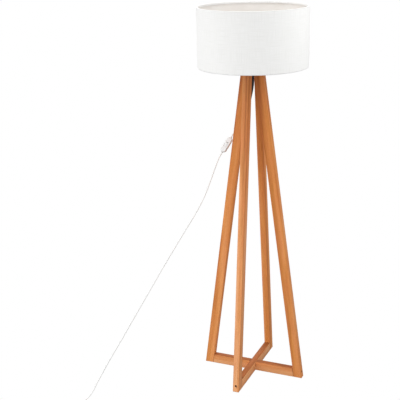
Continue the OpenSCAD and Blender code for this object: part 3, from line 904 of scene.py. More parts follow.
class Repeat:
    """Geometry node trees for what repeats round a ring, along a path or at marked points."""

    @staticmethod
    def _tree(
        name: str, inputs: dict[str, tuple[str, object]]
    ) -> tuple[bpy.types.NodeTree, dict[str, object]]:
        """Starts a tree with a geometry input and output and the named inputs.

        Args:
            name: The tree's name.
            inputs: Name of each further input to its kind and what it is set to.

        Returns:
            The tree, and each input's socket identifier to what it is set to.
        """
        tree = bpy.data.node_groups.new(name, "GeometryNodeTree")
        add_socket = tree.interface.new_socket
        add_socket(name="Geometry", in_out="INPUT", socket_type="NodeSocketGeometry")
        chosen = {}
        for label, (kind, value) in inputs.items():
            made = add_socket(name=label, in_out="INPUT", socket_type=f"NodeSocket{kind}")
            chosen[made.identifier] = value
        add_socket(name="Geometry", in_out="OUTPUT", socket_type="NodeSocketGeometry")
        return tree, chosen

    @staticmethod
    def _close(
        tree: bpy.types.NodeTree,
        start: bpy.types.Node,
        instances: bpy.types.NodeSocket,
        keep: bool,
    ) -> None:
        """Ends a tree: joins the base where it is kept, realizes and sets the finish."""
        shown = instances
        if keep:
            join = add_node(tree, "GeometryNodeJoinGeometry")
            tree.links.new(start.outputs["Geometry"], join.inputs["Geometry"])
            tree.links.new(instances, join.inputs["Geometry"])
            shown = join.outputs["Geometry"]
        real = add_node(tree, "GeometryNodeRealizeInstances", links={"Geometry": shown})
        skin = add_node(
            tree,
            "GeometryNodeSetMaterial",
            links={"Geometry": real.outputs["Geometry"], "Material": start.outputs["Finish"]},
        )
        add_node(tree, "NodeGroupOutput", links={"Geometry": skin.outputs["Geometry"]})

    @staticmethod
    def bake(
        obj: bpy.types.Object, tree: bpy.types.NodeTree, chosen: dict[str, object]
    ) -> bpy.types.Object:
        """Runs a tree on an object and leaves a plain mesh.

        Args:
            obj: The object that carries the tree.
            tree: The geometry node tree.
            chosen: Socket identifiers to what they are set to.

        Returns:
            The same object with the result as its mesh.
        """
        modifier = obj.modifiers.new(tree.name, "NODES")
        modifier.node_group = tree
        for identifier, value in chosen.items():
            modifier[identifier] = value
        obj.update_tag()
        graph = bpy.context.evaluated_depsgraph_get()
        mesh = bpy.data.meshes.new_from_object(obj.evaluated_get(graph), depsgraph=graph)
        obj.modifiers.remove(modifier)
        obj.data = mesh
        mesh.name = obj.name
        return obj

    @classmethod
    def round_ring(
        cls,
        obj: bpy.types.Object,
        count: int,
        radius: float,
        rib: float,
        deep: float,
        height: float,
        finish: bpy.types.Material,
    ) -> bpy.types.Object:
        """Sets round upright ribs on a ring.

        Args:
            obj: The ring that takes them.
            count: How many ribs.
            radius: From the axis to the middle of a rib.
            rib: Radius of a rib.
            deep: Length of a rib along the axis.
            height: Height of the ribs' middle.
            finish: Material of ring and ribs.

        Returns:
            The ring with its ribs.
        """
        tree, chosen = cls._tree(
            f"ribs_round_{obj.name}",
            {
                "Count": ("Int", count),
                "Radius": ("Float", radius),
                "Rib Radius": ("Float", rib),
                "Rib Length": ("Float", deep),
                "Height": ("Float", height),
                "Finish": ("Material", finish),
            },
        )
        start = add_node(tree, "NodeGroupInput")
        circle = add_node(
            tree,
            "GeometryNodeMeshCircle",
            links={"Vertices": start.outputs["Count"], "Radius": start.outputs["Radius"]},
        )
        lift = add_node(tree, "ShaderNodeCombineXYZ", links={"Z": start.outputs["Height"]})
        raised = add_node(
            tree,
            "GeometryNodeTransform",
            links={"Geometry": circle.outputs["Mesh"], "Translation": lift.outputs["Vector"]},
        )
        bar = add_node(
            tree,
            "GeometryNodeMeshCylinder",
            values={"Vertices": 10},
            links={"Radius": start.outputs["Rib Radius"], "Depth": start.outputs["Rib Length"]},
        )
        ribs = add_node(
            tree,
            "GeometryNodeInstanceOnPoints",
            links={"Points": raised.outputs["Geometry"], "Instance": bar.outputs["Mesh"]},
        )
        cls._close(tree, start, ribs.outputs["Instances"], keep=True)
        return cls.bake(obj, tree, chosen)

    @classmethod
    def along_path(
        cls,
        obj: bpy.types.Object,
        path: Sequence[Vector],
        count: int,
        first: float,
        last: float,
        thick: float,
        finish: bpy.types.Material,
    ) -> bpy.types.Object:
        """Sets flat collars along a path, from one radius to another.

        Args:
            obj: The tube that takes them.
            path: Middle of the stretch that has collars.
            count: How many collars.
            first: Radius of the first collar.
            last: Radius of the last one.
            thick: Thickness of a collar.
            finish: Material of tube and collars.

        Returns:
            The tube with its collars.
        """
        guide = link_new(f"{obj.name}_path", route_curve(f"{obj.name}_path", path))
        tree, chosen = cls._tree(
            f"collars_{obj.name}",
            {
                "Path": ("Object", guide),
                "Count": ("Int", count),
                "First Radius": ("Float", first),
                "Last Radius": ("Float", last),
                "Thickness": ("Float", thick),
                "Finish": ("Material", finish),
            },
        )
        start = add_node(tree, "NodeGroupInput")
        route = add_node(tree, "GeometryNodeObjectInfo", links={"Object": start.outputs["Path"]})
        points = add_node(
            tree,
            "GeometryNodeCurveToPoints",
            mode="COUNT",
            links={"Curve": route.outputs["Geometry"], "Count": start.outputs["Count"]},
        )
        disc = add_node(
            tree,
            "GeometryNodeMeshCylinder",
            values={"Vertices": 24, "Radius": 1.0},
            links={"Depth": start.outputs["Thickness"]},
        )
        index = add_node(tree, "GeometryNodeInputIndex")
        radius = add_node(
            tree,
            "ShaderNodeMapRange",
            values={"From Min": 0.0},
            links={
                "Value": index.outputs["Index"],
                "From Max": start.outputs["Count"],
                "To Min": start.outputs["First Radius"],
                "To Max": start.outputs["Last Radius"],
            },
        )
        size = add_node(
            tree,
            "ShaderNodeCombineXYZ",
            values={"Z": 1.0},
            links={"X": radius.outputs["Result"], "Y": radius.outputs["Result"]},
        )
        collars = add_node(
            tree,
            "GeometryNodeInstanceOnPoints",
            links={
                "Points": points.outputs["Points"],
                "Instance": disc.outputs["Mesh"],
                "Rotation": points.outputs["Rotation"],
                "Scale": size.outputs["Vector"],
            },
        )
        cls._close(tree, start, collars.outputs["Instances"], keep=True)
        made = cls.bake(obj, tree, chosen)
        bpy.data.objects.remove(guide)
        return made

    @classmethod
    def at_marks(
        cls,
        name: str,
        marks: Sequence[tuple[Vector, Point]],
        source: bpy.types.Object,
        finish: bpy.types.Material,
    ) -> bpy.types.Object:
        """Copies one shape to every mark.

        Args:
            name: The new object's name.
            marks: Place and turn of each copy.
            source: The shape, which is removed afterwards.
            finish: Material of the copies.

        Returns:
            The copies as one object.
        """
        mesh = bpy.data.meshes.new(name)
        mesh.from_pydata([tuple(place) for place, _ in marks], [], [])
        turns = mesh.attributes.new("turn", "FLOAT_VECTOR", "POINT")
        for value, (_, turn) in zip(turns.data, marks):
            value.vector = turn
        obj = link_new(name, mesh)
        tree, chosen = cls._tree(
            f"copies_{name}",
            {
                "Shape": ("Object", source),
                "Size": ("Float", 1.0),
                "Finish": ("Material", finish),
            },
        )
        start = add_node(tree, "NodeGroupInput")
        shape = add_node(tree, "GeometryNodeObjectInfo", links={"Object": start.outputs["Shape"]})
        turn = add_node(
            tree,
            "GeometryNodeInputNamedAttribute",
            values={"Name": "turn"},
            data_type="FLOAT_VECTOR",
        )
        copies = add_node(
            tree,
            "GeometryNodeInstanceOnPoints",
            links={
                "Points": start.outputs["Geometry"],
                "Instance": shape.outputs["Geometry"],
                "Rotation": turn.outputs["Attribute"],
                "Scale": start.outputs["Size"],
            },
        )
        cls._close(tree, start, copies.outputs["Instances"], keep=False)
        made = cls.bake(obj, tree, chosen)
        bpy.data.objects.remove(source)
        return made


# ---------------------------------------------------------------- sub-assemblies


def refinish(node: str, material: bpy.types.Material) -> None:
    """Gives a CAD node that stays in view its finish."""
    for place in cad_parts[node].material_slots:
        place.material = material
    log.info("%s keeps its shape", node)


@dataclass
class Timbers:
    """Four leaning legs, the two crossed floor bars and the hub block between the leg heads."""

    spread: float = 0.228
    side_head: float = 0.040
    long_head: float = 0.0775
    leg_top: float = 1.396
    depth: float = 0.037
    edge: float = 0.0016
    hole_edge: float = 0.006
    # Where the rings' heart lies off a leg's middle, and where the legs were cut from a board.
    heart: tuple[float, float] = (0.055, 0.03)
    first_cut: float = 0.4
    next_cut: float = 1.7

    def lean(self, k: int) -> float:
        """How far leg k leans from upright, in radians."""
        head = self.long_head if k % 2 else self.side_head
        return math.atan((self.spread - head) / self.leg_top)

    def own_edge(self, edge: bmesh.types.BMEdge) -> bool:
        """Whether an edge is a timber's own and not one of a hole's."""
        return edge.calc_length() > self.hole_edge

    def piece(
        self, node: str, wood: Wood, turn: Matrix, shift: Point, shaded_way: Point, slot: str
    ) -> None:
        """Makes one timber with eased edges and its own cut of wood."""
        made = eased_copy(node, f"{node}_timber", self.edge, self.own_edge)
        dress(made, wood.value.build(node, turn, shift, shaded_way), Body.FRAME, [node])

    def build(self) -> None:
        """Makes every timber."""
        for k, side in enumerate(("right", "back", "left", "front")):
            lean = self.lean(k)
            turn = Matrix.Rotation(lean, 3, "Y") @ Matrix.Rotation(-k * math.pi / 2, 3, "Z")
            middle = (self.spread - self.depth / 2) * math.cos(lean)
            heart_x, heart_y = self.heart
            shift = (heart_x - middle, heart_y, self.first_cut + self.next_cut * k)
            wood = Wood.PALE_LEG if side == "front" else Wood.LEG
            # Painted shade falls on the back and front legs' faces along X and on the side legs'
            # faces along Y.
            shaded_way = (1.0, 0.0, 0.0) if k % 2 else (0.0, 1.0, 0.0)
            self.piece(f"leg_{side}", wood, turn, shift, shaded_way, "leg_wood")
        lie_x = Matrix.Rotation(-math.pi / 2, 3, "Y")
        lie_y = lie_x @ Matrix.Rotation(-math.pi / 2, 3, "Z")
        # The bars and the hub block get painted shade on their top and bottom faces.
        up = (0.0, 0.0, 1.0)
        self.piece("crossbar_lower", Wood.BAR, lie_x, (0.07, 0.04, 8.1), up, "bar_wood")
        self.piece("crossbar_upper", Wood.BAR, lie_y, (0.06, -0.05, 9.6), up, "bar_wood")
        self.piece("hub_block", Wood.HUB, lie_y, (1.44, 0.02, 11.0), up, "hub_wood")
        refinish("foot_dowels", DOWEL.build())


@dataclass
class WoodScrews:
    """Black wood screws with hexagon sockets, sunk in the feet and in the leg heads."""

    head_r: float = 0.0045
    head_h: float = 0.003
    socket_r: float = 0.00216
    socket_deep: float = 0.0018
    chamfer: float = 0.0005
    neck: float = 0.0004
    plain: float = 0.004
    point: float = 0.007
    pitch: float = 0.0024
    root: float = 0.78

    def hexed(self, r: float, a: float, _z: float) -> float:
        """Radius of the socket's wall, six-sided, and of everything else, round."""
        return r if r > self.socket_r * 1.05 else six_sided(r, a)

    def screw(self, name: str, length: float, shank_r: float) -> bpy.types.Object:
        """One screw with its head's face at the origin, pointing down."""
        profile = [
            (0.0, -self.socket_deep),
            (self.socket_r, -self.socket_deep),
            (self.socket_r, 0.0),
            (self.head_r - self.chamfer, 0.0),
            (self.head_r, -self.chamfer),
            (self.head_r, -self.head_h),
            (shank_r, -self.head_h - self.neck),
        ]
        z = -self.head_h - self.plain
        while z > -length + self.point:
            profile += [(shank_r * self.root, z), (shank_r, z - self.pitch / 2)]
            z -= self.pitch
        profile += [(shank_r * 0.7, z), (0.0, -length)]
        return lathe(name, profile, 24, self.hexed, 40.0)

    def build(self) -> None:
        """Puts a screw at every solid of the two screw nodes."""
        steel = BLACK_STEEL.build()
        sizes = (("foot_screws", 0.070, 0.003), ("hub_screws", 0.034, 0.0022))
        for node, length, shank_r in sizes:
            marks = []
            for lo, hi in islands(node):
                place = (lo + hi) / 2
                axis = 0 if abs(place.x) > abs(place.y) else 1
                side = math.copysign(1, place[axis])
                place[axis] = side * max(abs(lo[axis]), abs(hi[axis]))
                quarter = side * math.pi / 2
                marks.append((place, (-quarter, 0.0, 0.0) if axis else (0.0, quarter, 0.0)))
            source = self.screw(f"{node}_shape", length, shank_r)
            made = Repeat.at_marks(f"{node}_turned", marks, source, steel)
            dress(made, steel, Body.FRAME, [node])
        refinish("cross_screw", steel)


@dataclass
class TubeFittings:
    """Threaded tube with its nuts and washers, and the black gland under the hub."""

    gland_z: float = 1.322
    gland_top: float = 1.3335
    gland_r: float = 0.007
    gland_ease: float = 0.001
    hex_r: float = 0.0084
    hex_ease: float = 0.0003
    hex_low: float = 0.0048
    bore: float = 0.00305
    tube_r: float = 0.00505
    tube_in: float = 0.006

    def hexed(self, r: float, a: float, _z: float) -> float:
        """Six flats on the gland's upper part."""
        return r if r < self.gland_r * 1.05 else six_sided(r, a)

    def build(self) -> None:
        """Makes the gland and finishes the metal parts."""
        z, top = self.gland_z, self.gland_top
        profile = [
            (self.bore, z),
            (self.gland_r - self.gland_ease, z),
            (self.gland_r, z + self.gland_ease),
            (self.gland_r, top - self.hex_low - 0.0004),
            (self.hex_r, top - self.hex_low),
            (self.hex_r, top - self.hex_ease),
            (self.hex_r - self.hex_ease, top),
            (self.tube_r, top),
            (self.tube_r, top - self.tube_in),
            (self.bore, top - self.tube_in),
        ]
        gland = lathe("hub_gland", profile, 48, self.hexed)
        dress(gland, NYLON.build(), Body.FRAME, ["cord_gland"])
        metal = ("threaded_tube", "tube_nuts", "tube_washers", "terminal_screws", "switch_screws")
        for node in metal:
            refinish(node, ZINC.build())


@dataclass
class Lampholder:
    """Screw lampholder with its cap, threaded body, seat ring and clamp ring."""

    cap_z: float = 1.4025
    body_z: float = 1.4245
    body_top: float = 1.4625
    insert_top: float = 1.431
    outer_r: float = 0.0198
    bore: float = 0.00505
    socket_r: float = 0.01615
    mouth_r: float = 0.0132
    thread_pitch: float = 0.0025
    thread_deep: float = 0.0005
    seat_z: float = 1.427
    seat_top: float = 1.431
    clamp_z: float = 1.4331
    clamp_top: float = 1.4401
    ring_r: float = 0.026
    ribs: int = 24
    rib_r: float = 0.0008
    rib_long: float = 0.0054
    flutes: int = 36
    flute_deep: float = 0.00035

    def fluted(self, r: float, a: float, z: float) -> float:
        """Shallow grip flutes round the cap's skirt."""
        if r < self.outer_r - 0.0001 or not self.cap_z + 0.0135 < z < self.cap_z + 0.021:
            return r
        return scalloped(r, a * self.flutes, self.flute_deep)

    def threaded(self, r: float, a: float, z: float) -> float:
        """Outer thread of the body, one start, with round crests."""
        if r < self.outer_r - 0.0001 or not self.body_z + 0.003 < z < self.body_top - 0.0015:
            return r
        return scalloped(r, TAU * (z / self.thread_pitch - a / TAU), self.thread_deep)

    def build(self) -> None:
        """Makes the cap, body and rings and finishes what lies inside."""
        white = HOLDER_WHITE.build()
        z, r, bore = self.cap_z, self.outer_r, self.bore
        skirt = [(r, z + 0.0125 + 0.001 * k) for k in range(10)]
        cap = [(bore, z), (0.0082, z), (0.009, z + 0.0008), (0.009, z + 0.0045)]
        cap += [(0.0095, z + 0.0053), (0.0188, z + 0.0109), (0.0195, z + 0.0116), *skirt]
        cap += [(r - 0.0003, z + 0.0219), (r - 0.0022, z + 0.0219), (r - 0.0022, z + 0.012)]
        cap += [(0.008, z + 0.007), (bore, z + 0.007)]
        made = lathe("lampholder_cap", cap, 180, self.fluted)
        dress(made, white, Body.FRAME, ["holder_cap"])

        z, top, mouth = self.body_z, self.body_top, self.mouth_r
        row = self.thread_pitch / 5
        body = [(self.socket_r, z), (r - 0.0003, z), (r, z + 0.0003)]
        body += [(r, z + row * k) for k in range(2, int((top - z - 0.001) / row))]
        body += [(r - 0.0006, top), (mouth + 0.0007, top), (mouth, top - 0.0007)]
        body += [(mouth, self.insert_top), (self.socket_r, self.insert_top)]
        made = lathe("lampholder_body", body, 72, self.threaded, 50.0)
        dress(made, white, Body.FRAME, ["holder_body"])

        low, high = self.seat_z, self.seat_top
        seat = [(r + 0.00005, low, 0.0004), (self.ring_r, low, 0.0008)]
        seat += [(self.ring_r, high, 0.0006), (r + 0.00005, high, 0.0003)]
        made = lathe("shade_seat_ring", rounded(seat, 3), 96)
        dress(made, white, Body.FRAME, ["ring_seat"])

        low, high, waist = self.clamp_z, self.clamp_top, self.ring_r - 0.0009
        clamp = [(r + 0.0001, low, 0.0004), (waist, low, 0.0007)]
        clamp += [(waist, high, 0.0012), (r + 0.0001, high, 0.0005)]
        made = lathe("shade_clamp_ring", rounded(clamp, 4), 96)
        made = Repeat.round_ring(
            made, self.ribs, waist, self.rib_r, self.rib_long, (low + high) / 2, white
        )
        dress(made, white, Body.CLAMP, ["clamp_ring"])

        refinish("holder_insert", STEATITE.build())
        for node in ("holder_contacts", "switch_contacts"):
            refinish(node, BRASS.build())
        for node, finish in (("inner_cord", BLACK_PVC), ("inner_cores", CORE)):
            refinish(node, finish.build())


@dataclass
class Bulb:
    """Small globe bulb: rolled screw cap, black tip, collar and opal globe."""

    tip_z: float = 1.4323
    cap_z: float = 1.436
    collar_z: float = 1.458
    rim_z: float = 1.490
    globe_r: float = 0.030
    globe_z: float = 1.512
    wall: float = 0.0012
    cap_r: float = 0.0131
    tip_r: float = 0.0046
    insulator_r: float = 0.0048
    board_z: float = 1.482
    board_r: float = 0.0176
    pitch: float = 0.00362
    thread_deep: float = 0.00055
    steps: int = 40

    def threaded(self, r: float, a: float, z: float) -> float:
        """Rolled thread of the cap."""
        if r < self.cap_r - 0.0001:
            return r
        return scalloped(r, TAU * (z / self.pitch - a / TAU), self.thread_deep)

    def dome(self, r: float, start: float, end: float) -> Profile:
        """An arc round the globe's middle from one angle to another, in radians above level."""
        angles = [start + (end - start) * k / self.steps for k in range(self.steps + 1)]
        return [(r * math.cos(a), self.globe_z + r * math.sin(a)) for a in angles]

    def build(self) -> None:
        """Makes the bulb's visible parts."""
        z, r = self.cap_z, self.cap_r
        inner, rim = self.insulator_r, self.collar_z
        rows = [(r, z + 0.004 + 0.0004 * k) for k in range(40)]
        cap = [(inner, z), (r - 0.0008, z + 0.0036), *rows, (r - 0.0003, rim)]
        cap += [(r - 0.0007, rim), (r - 0.0007, z + 0.0046), (inner, z + 0.0006)]
        made = lathe("bulb_screw_cap", cap, 72, self.threaded, 50.0)
        dress(made, CAP_METAL.build(), Body.BULB, ["bulb_cap"])

        z, wide = self.tip_z, self.tip_r
        tip = [(0.0, z), (0.0022, z), (0.0026, z + 0.0004), (wide - 0.0002, z + 0.0033)]
        tip += [(wide, z + 0.0037), (wide, z + 0.0043), (0.0, z + 0.0043)]
        made = lathe("bulb_contact_tip", tip, 48)
        dress(made, TIP_GLASS.build(), Body.BULB, ["bulb_tip"])

        z, rim = self.collar_z, math.sqrt(self.globe_r**2 - (self.globe_z - self.rim_z) ** 2)
        collar = [(0.0, z - 0.008, 0), (r - 0.001, z - 0.008, 0), (r - 0.001, z, 0)]
        collar += [(r - 0.0001, z, 0.0), (r - 0.0001, z + 0.006, 0.005)]
        collar += [(rim, z + 0.022, 0.007), (rim, self.rim_z, 0.0006)]
        collar += [(self.board_r, self.rim_z, 0), (self.board_r, self.board_z, 0)]
        collar += [(0.0, self.board_z, 0)]
        made = lathe("bulb_neck_collar", rounded(collar, 6, closed=False), 72, sharp_deg=40.0)
        dress(made, COLLAR.build(), Body.BULB, ["bulb_collar"])

        inner_r = self.globe_r - self.wall
        low, floor = (math.asin((self.rim_z - self.globe_z) / r) for r in (self.globe_r, inner_r))
        skin = self.dome(self.globe_r, math.pi / 2, low) + self.dome(inner_r, floor, math.pi / 2)
        skin[0], skin[-1] = (0.0, skin[0][1]), (0.0, skin[-1][1])
        made = lathe("bulb_opal_globe", skin, 80, sharp_deg=50.0)
        dress(made, OPAL.build(), Body.BULB, ["bulb_globe"])
        refinish("led_board", BOARD.build())


@dataclass
class DrumShade:
    """White drum: cloth over film on two wires, with a three-armed spider at the bottom."""

    low: float = 1.360
    high: float = 1.600
    outer_r: float = 0.225
    cloth_t: float = 0.0006
    film_t: float = 0.0008
    hem: float = 0.008
    hem_in: float = 0.2182
    seam_angle: float = 1.95
    seam_half: float = 0.006
    seam_t: float = 0.0005
    segments: int = 288
    rows: int = 12
    wire_r: float = 0.2213
    wire_low_z: float = 1.36265
    tuck: float = 0.0015
    tape_t: float = 0.0005
    rod_r: float = 0.002
    rod_sides: int = 16
    plate_bore: float = 0.0199
    plate_r: float = 0.027
    plate_z: float = 1.431
    plate_t: float = 0.002
    arms: int = 3

    def seamed(self, r: float, a: float, _z: float) -> float:
        """Radius of the cloth, raised where its two ends overlap at the back."""
        if r < self.outer_r - self.cloth_t / 2:
            return r
        off = abs(a - self.seam_angle) * self.outer_r
        ease = min(1.0, max(0.0, (self.seam_half + 0.003 - off) / 0.003))
        return r + self.seam_t * ease

    def wall(self, name: str, r_out: float, r_in: float, seam: bool) -> bpy.types.Object:
        """One closed layer of the shade's wall."""
        z0, z1 = self.low + self.tuck, self.high - self.tuck
        up = [(r_out, z0 + (z1 - z0) * k / self.rows) for k in range(self.rows + 1)]
        down = [(r_in, z) for _, z in reversed(up)]
        return lathe(name, up + down, self.segments, self.seamed if seam else None, uv=True)

    def hem_roll(self, name: str, top: bool) -> bpy.types.Object:
        """Cloth turned over the wire and down inside."""
        r, inner, edge, t = self.outer_r, self.hem_in, self.high, self.tape_t
        outline = [(r, edge - 0.0025, 0), (r, edge, 0.0018), (inner, edge, 0.0018)]
        outline += [(inner, edge - self.hem, 0), (inner + t, edge - self.hem, 0)]
        outline += [(inner + t, edge - t, 0.0014), (r - t, edge - t, 0.0014)]
        outline += [(r - t, edge - 0.0025, 0)]
        profile = rounded(outline, 5)
        if not top:
            profile = [(x, self.low + self.high - z) for x, z in profile]
        return lathe(name, profile, self.segments, sharp_deg=50.0, uv=True)

    def spider(self) -> bpy.types.Object:
        """Pressed centre plate with three round arms welded to the bottom wire."""
        z, r, bore, high = self.plate_z, self.plate_r, self.plate_bore, self.plate_z + self.plate_t
        ring = [(bore, z, 0.0003), (r, z, 0.0007), (r, high, 0.0007), (bore, high, 0.0005)]
        plate = lathe("spider_plate", rounded(ring, 3), 96)
        bm = bmesh.new()
        bm.from_mesh(plate.data)
        bpy.data.objects.remove(plate)
        weld_z = z + self.plate_t / 2
        slope = (weld_z - self.wire_low_z) / (self.wire_r - r + 0.003)
        stops = [self.wire_r, 0.215, 0.18, 0.14, 0.10, 0.06, 0.038, 0.031]
        radii = [self.rod_r] * (len(stops) - 1) + [self.rod_r * 0.9, 0.0009]
        up = Vector((0.0, 0.0, 1.0))
        for i in range(self.arms):
            a = math.pi / 2 + TAU * i / self.arms
            out = Vector((math.cos(a), math.sin(a), 0.0))
            path = [out * s + up * (self.wire_low_z + (self.wire_r - s) * slope) for s in stops]
            path.append(out * (r - 0.0002) + up * weld_z)
            skin_rings(bm, tube_rings(path, radii, self.rod_sides))
        bmesh.ops.recalc_face_normals(bm, faces=bm.faces)
        return to_object("spider_arms", bm, 45.0)

    def build(self) -> None:
        """Makes the shade."""
        lining_r = self.outer_r - self.cloth_t
        cloth = self.wall("shade_cloth", self.outer_r, lining_r, seam=True)
        dress(cloth, COTTON.build(), Body.SHADE, ["shade_fabric"])
        film = self.wall("shade_film", lining_r - 0.00005, lining_r - self.film_t, seam=False)
        dress(film, FILM.build(), Body.SHADE, ["shade_lining"])
        for top, node in ((True, "shade_hem_top"), (False, "shade_hem_bottom")):
            hem = self.hem_roll(f"{node}_roll", top)
            dress(hem, HEM.build(), Body.SHADE, [node])
        arms = self.spider()
        dress(arms, POWDER.build(), Body.SHADE, ["shade_spider"])
        for node in ("shade_ring_top", "shade_ring_bottom"):
            refinish(node, POWDER.build())


@dataclass
class InlineSwitch:
    """In-line rocker switch in two rounded shells, turned to hang with the cord."""

    middle: Point = (-0.121, 0.005, 1.024)
    slope_deg: float = 56.0
    heading_deg: float = -140.0
    roll_deg: float = -50.0
    long: float = 0.076
    body_long: float = 0.06968
    width: float = 0.025
    thick: float = 0.017
    rim: float = 0.0026
    key_ease: float = 0.0005
    key_edge: float = 0.004

    def placed(self) -> Matrix:
        """Turns the switch's axes, X along the cord and Z out of the rocker, into the lamp's."""
        roll = Matrix.Rotation(math.radians(self.roll_deg), 4, "X")
        slope = Matrix.Rotation(math.radians(self.slope_deg), 4, "Y")
        heading = Matrix.Rotation(math.radians(self.heading_deg), 4, "Z")
        return Matrix.Translation(self.middle) @ heading @ slope @ roll

    def end(self, side: int) -> Vector:
        """Where the cord meets the switch: -1 for the upper end and 1 for the lower one."""
        return self.placed() @ Vector((side * self.long / 2, 0, 0))

    def off_outline(self, p: Vector) -> float:
        """Distance from the shells' outline, seen along the rocker's axis."""
        beyond = abs(p.x) - (self.body_long - self.width) / 2
        edge = math.hypot(beyond, p.y) if beyond > 0 else abs(p.y)
        return abs(edge - self.width / 2)

    def rim_edge(self, edge: bmesh.types.BMEdge) -> bool:
        """Whether an edge runs round a shell's outer face."""
        back = self.placed().inverted()
        ends = [back @ v.co for v in edge.verts]
        level = all(abs(abs(p.z) - self.thick / 2) < 0.00005 for p in ends)
        return level and all(self.off_outline(p) < 0.0002 for p in ends)

    def build(self) -> list[bpy.types.Object]:
        """Makes the shells and the rocker, and returns the pieces that go with the cord."""
        pieces = []
        for node in ("switch_base", "switch_cover"):
            shell = eased_copy(node, f"{node}_shell", self.rim, self.rim_edge, 5, 40.0)
            pieces.append(dress(shell, ABS.build(), Body.FRAME, [node]))
        rocker = eased_copy(
            "switch_rocker",
            "switch_rocker_key",
            self.key_ease,
            lambda e: e.calc_length() > self.key_edge,
            3,
            40.0,
        )
        dress(rocker, ABS_GLOSS.build(), Body.ROCKER, ["switch_rocker"])
        return pieces


@dataclass
class Plug:
    """Flat two-pin plug with a ribbed strain relief, beside the coil with its pins along +X."""

    start: Point = (-0.505, -0.643, 0.0068)
    relief: float = 0.022
    body: float = 0.030
    pin: float = 0.019
    pin_r: float = 0.002
    pin_gap: float = 0.019
    round_power: float = 4.0
    sides: int = 48
    ribs: int = 7
    # Stations along the body: (place, half width, half height)
    stations: tuple[Point, ...] = (
        (0.0, 0.0064, 0.0056),
        (0.0012, 0.0071, 0.0062),
        (0.005, 0.0085, 0.0064),
        (0.010, 0.0120, 0.0066),
        (0.014, 0.0158, 0.0068),
        (0.018, 0.0172, 0.0068),
        (0.022, 0.0175, 0.0068),
        (0.027, 0.0175, 0.0068),
        (0.0292, 0.0172, 0.0066),
        (0.030, 0.0166, 0.0061),
    )

    def build(self) -> list[bpy.types.Object]:
        """Makes the plug's pieces."""
        x, y, z = self.start
        x0 = x + self.relief
        rings = []
        for along, half_w, half_h in self.stations:
            ring = []
            for k in range(self.sides):
                a = TAU * k / self.sides
                c, s = math.cos(a), math.sin(a)
                power = self.round_power
                reach = (abs(c) ** power + abs(s) ** power) ** (-1 / power)
                ring.append(Vector((x0 + along, y + half_w * reach * c, z + half_h * reach * s)))
            rings.append(ring)
        body = loft("plug_shell", rings, 50.0)
        dress(body, PLUG_PVC.build(), Body.FRAME, ["plug_body"])

        bm = bmesh.new()
        tip = x0 + self.body + self.pin
        radii = [self.pin_r, self.pin_r, self.pin_r * 0.8, self.pin_r * 0.45]
        for side in (-1, 1):
            centre = y + side * self.pin_gap / 2
            stops = [x0 + self.body - 0.002, tip - 0.0012, tip - 0.0004, tip]
            skin_rings(bm, tube_rings([Vector((s, centre, z)) for s in stops], radii, 24))
        bmesh.ops.recalc_face_normals(bm, faces=bm.faces)
        pins = to_object("plug_contact_pins", bm)
        dress(pins, NICKEL.build(), Body.FRAME, ["plug_pins"])

        shares = [k / 12 for k in range(13)]
        path = [Vector((x + self.relief * share, y, z)) for share in shares]
        radii = [0.0036 + 0.0012 * share for share in shares]
        sleeve = loft("plug_strain_relief", tube_rings(path, radii, 24))
        white = PLUG_PVC.build()
        sleeve = Repeat.along_path(sleeve, path[1:-1], self.ribs, 0.0038, 0.0052, 0.0016, white)
        dress(sleeve, white, Body.FRAME, ["plug_relief"])
        return [body, pins, sleeve]


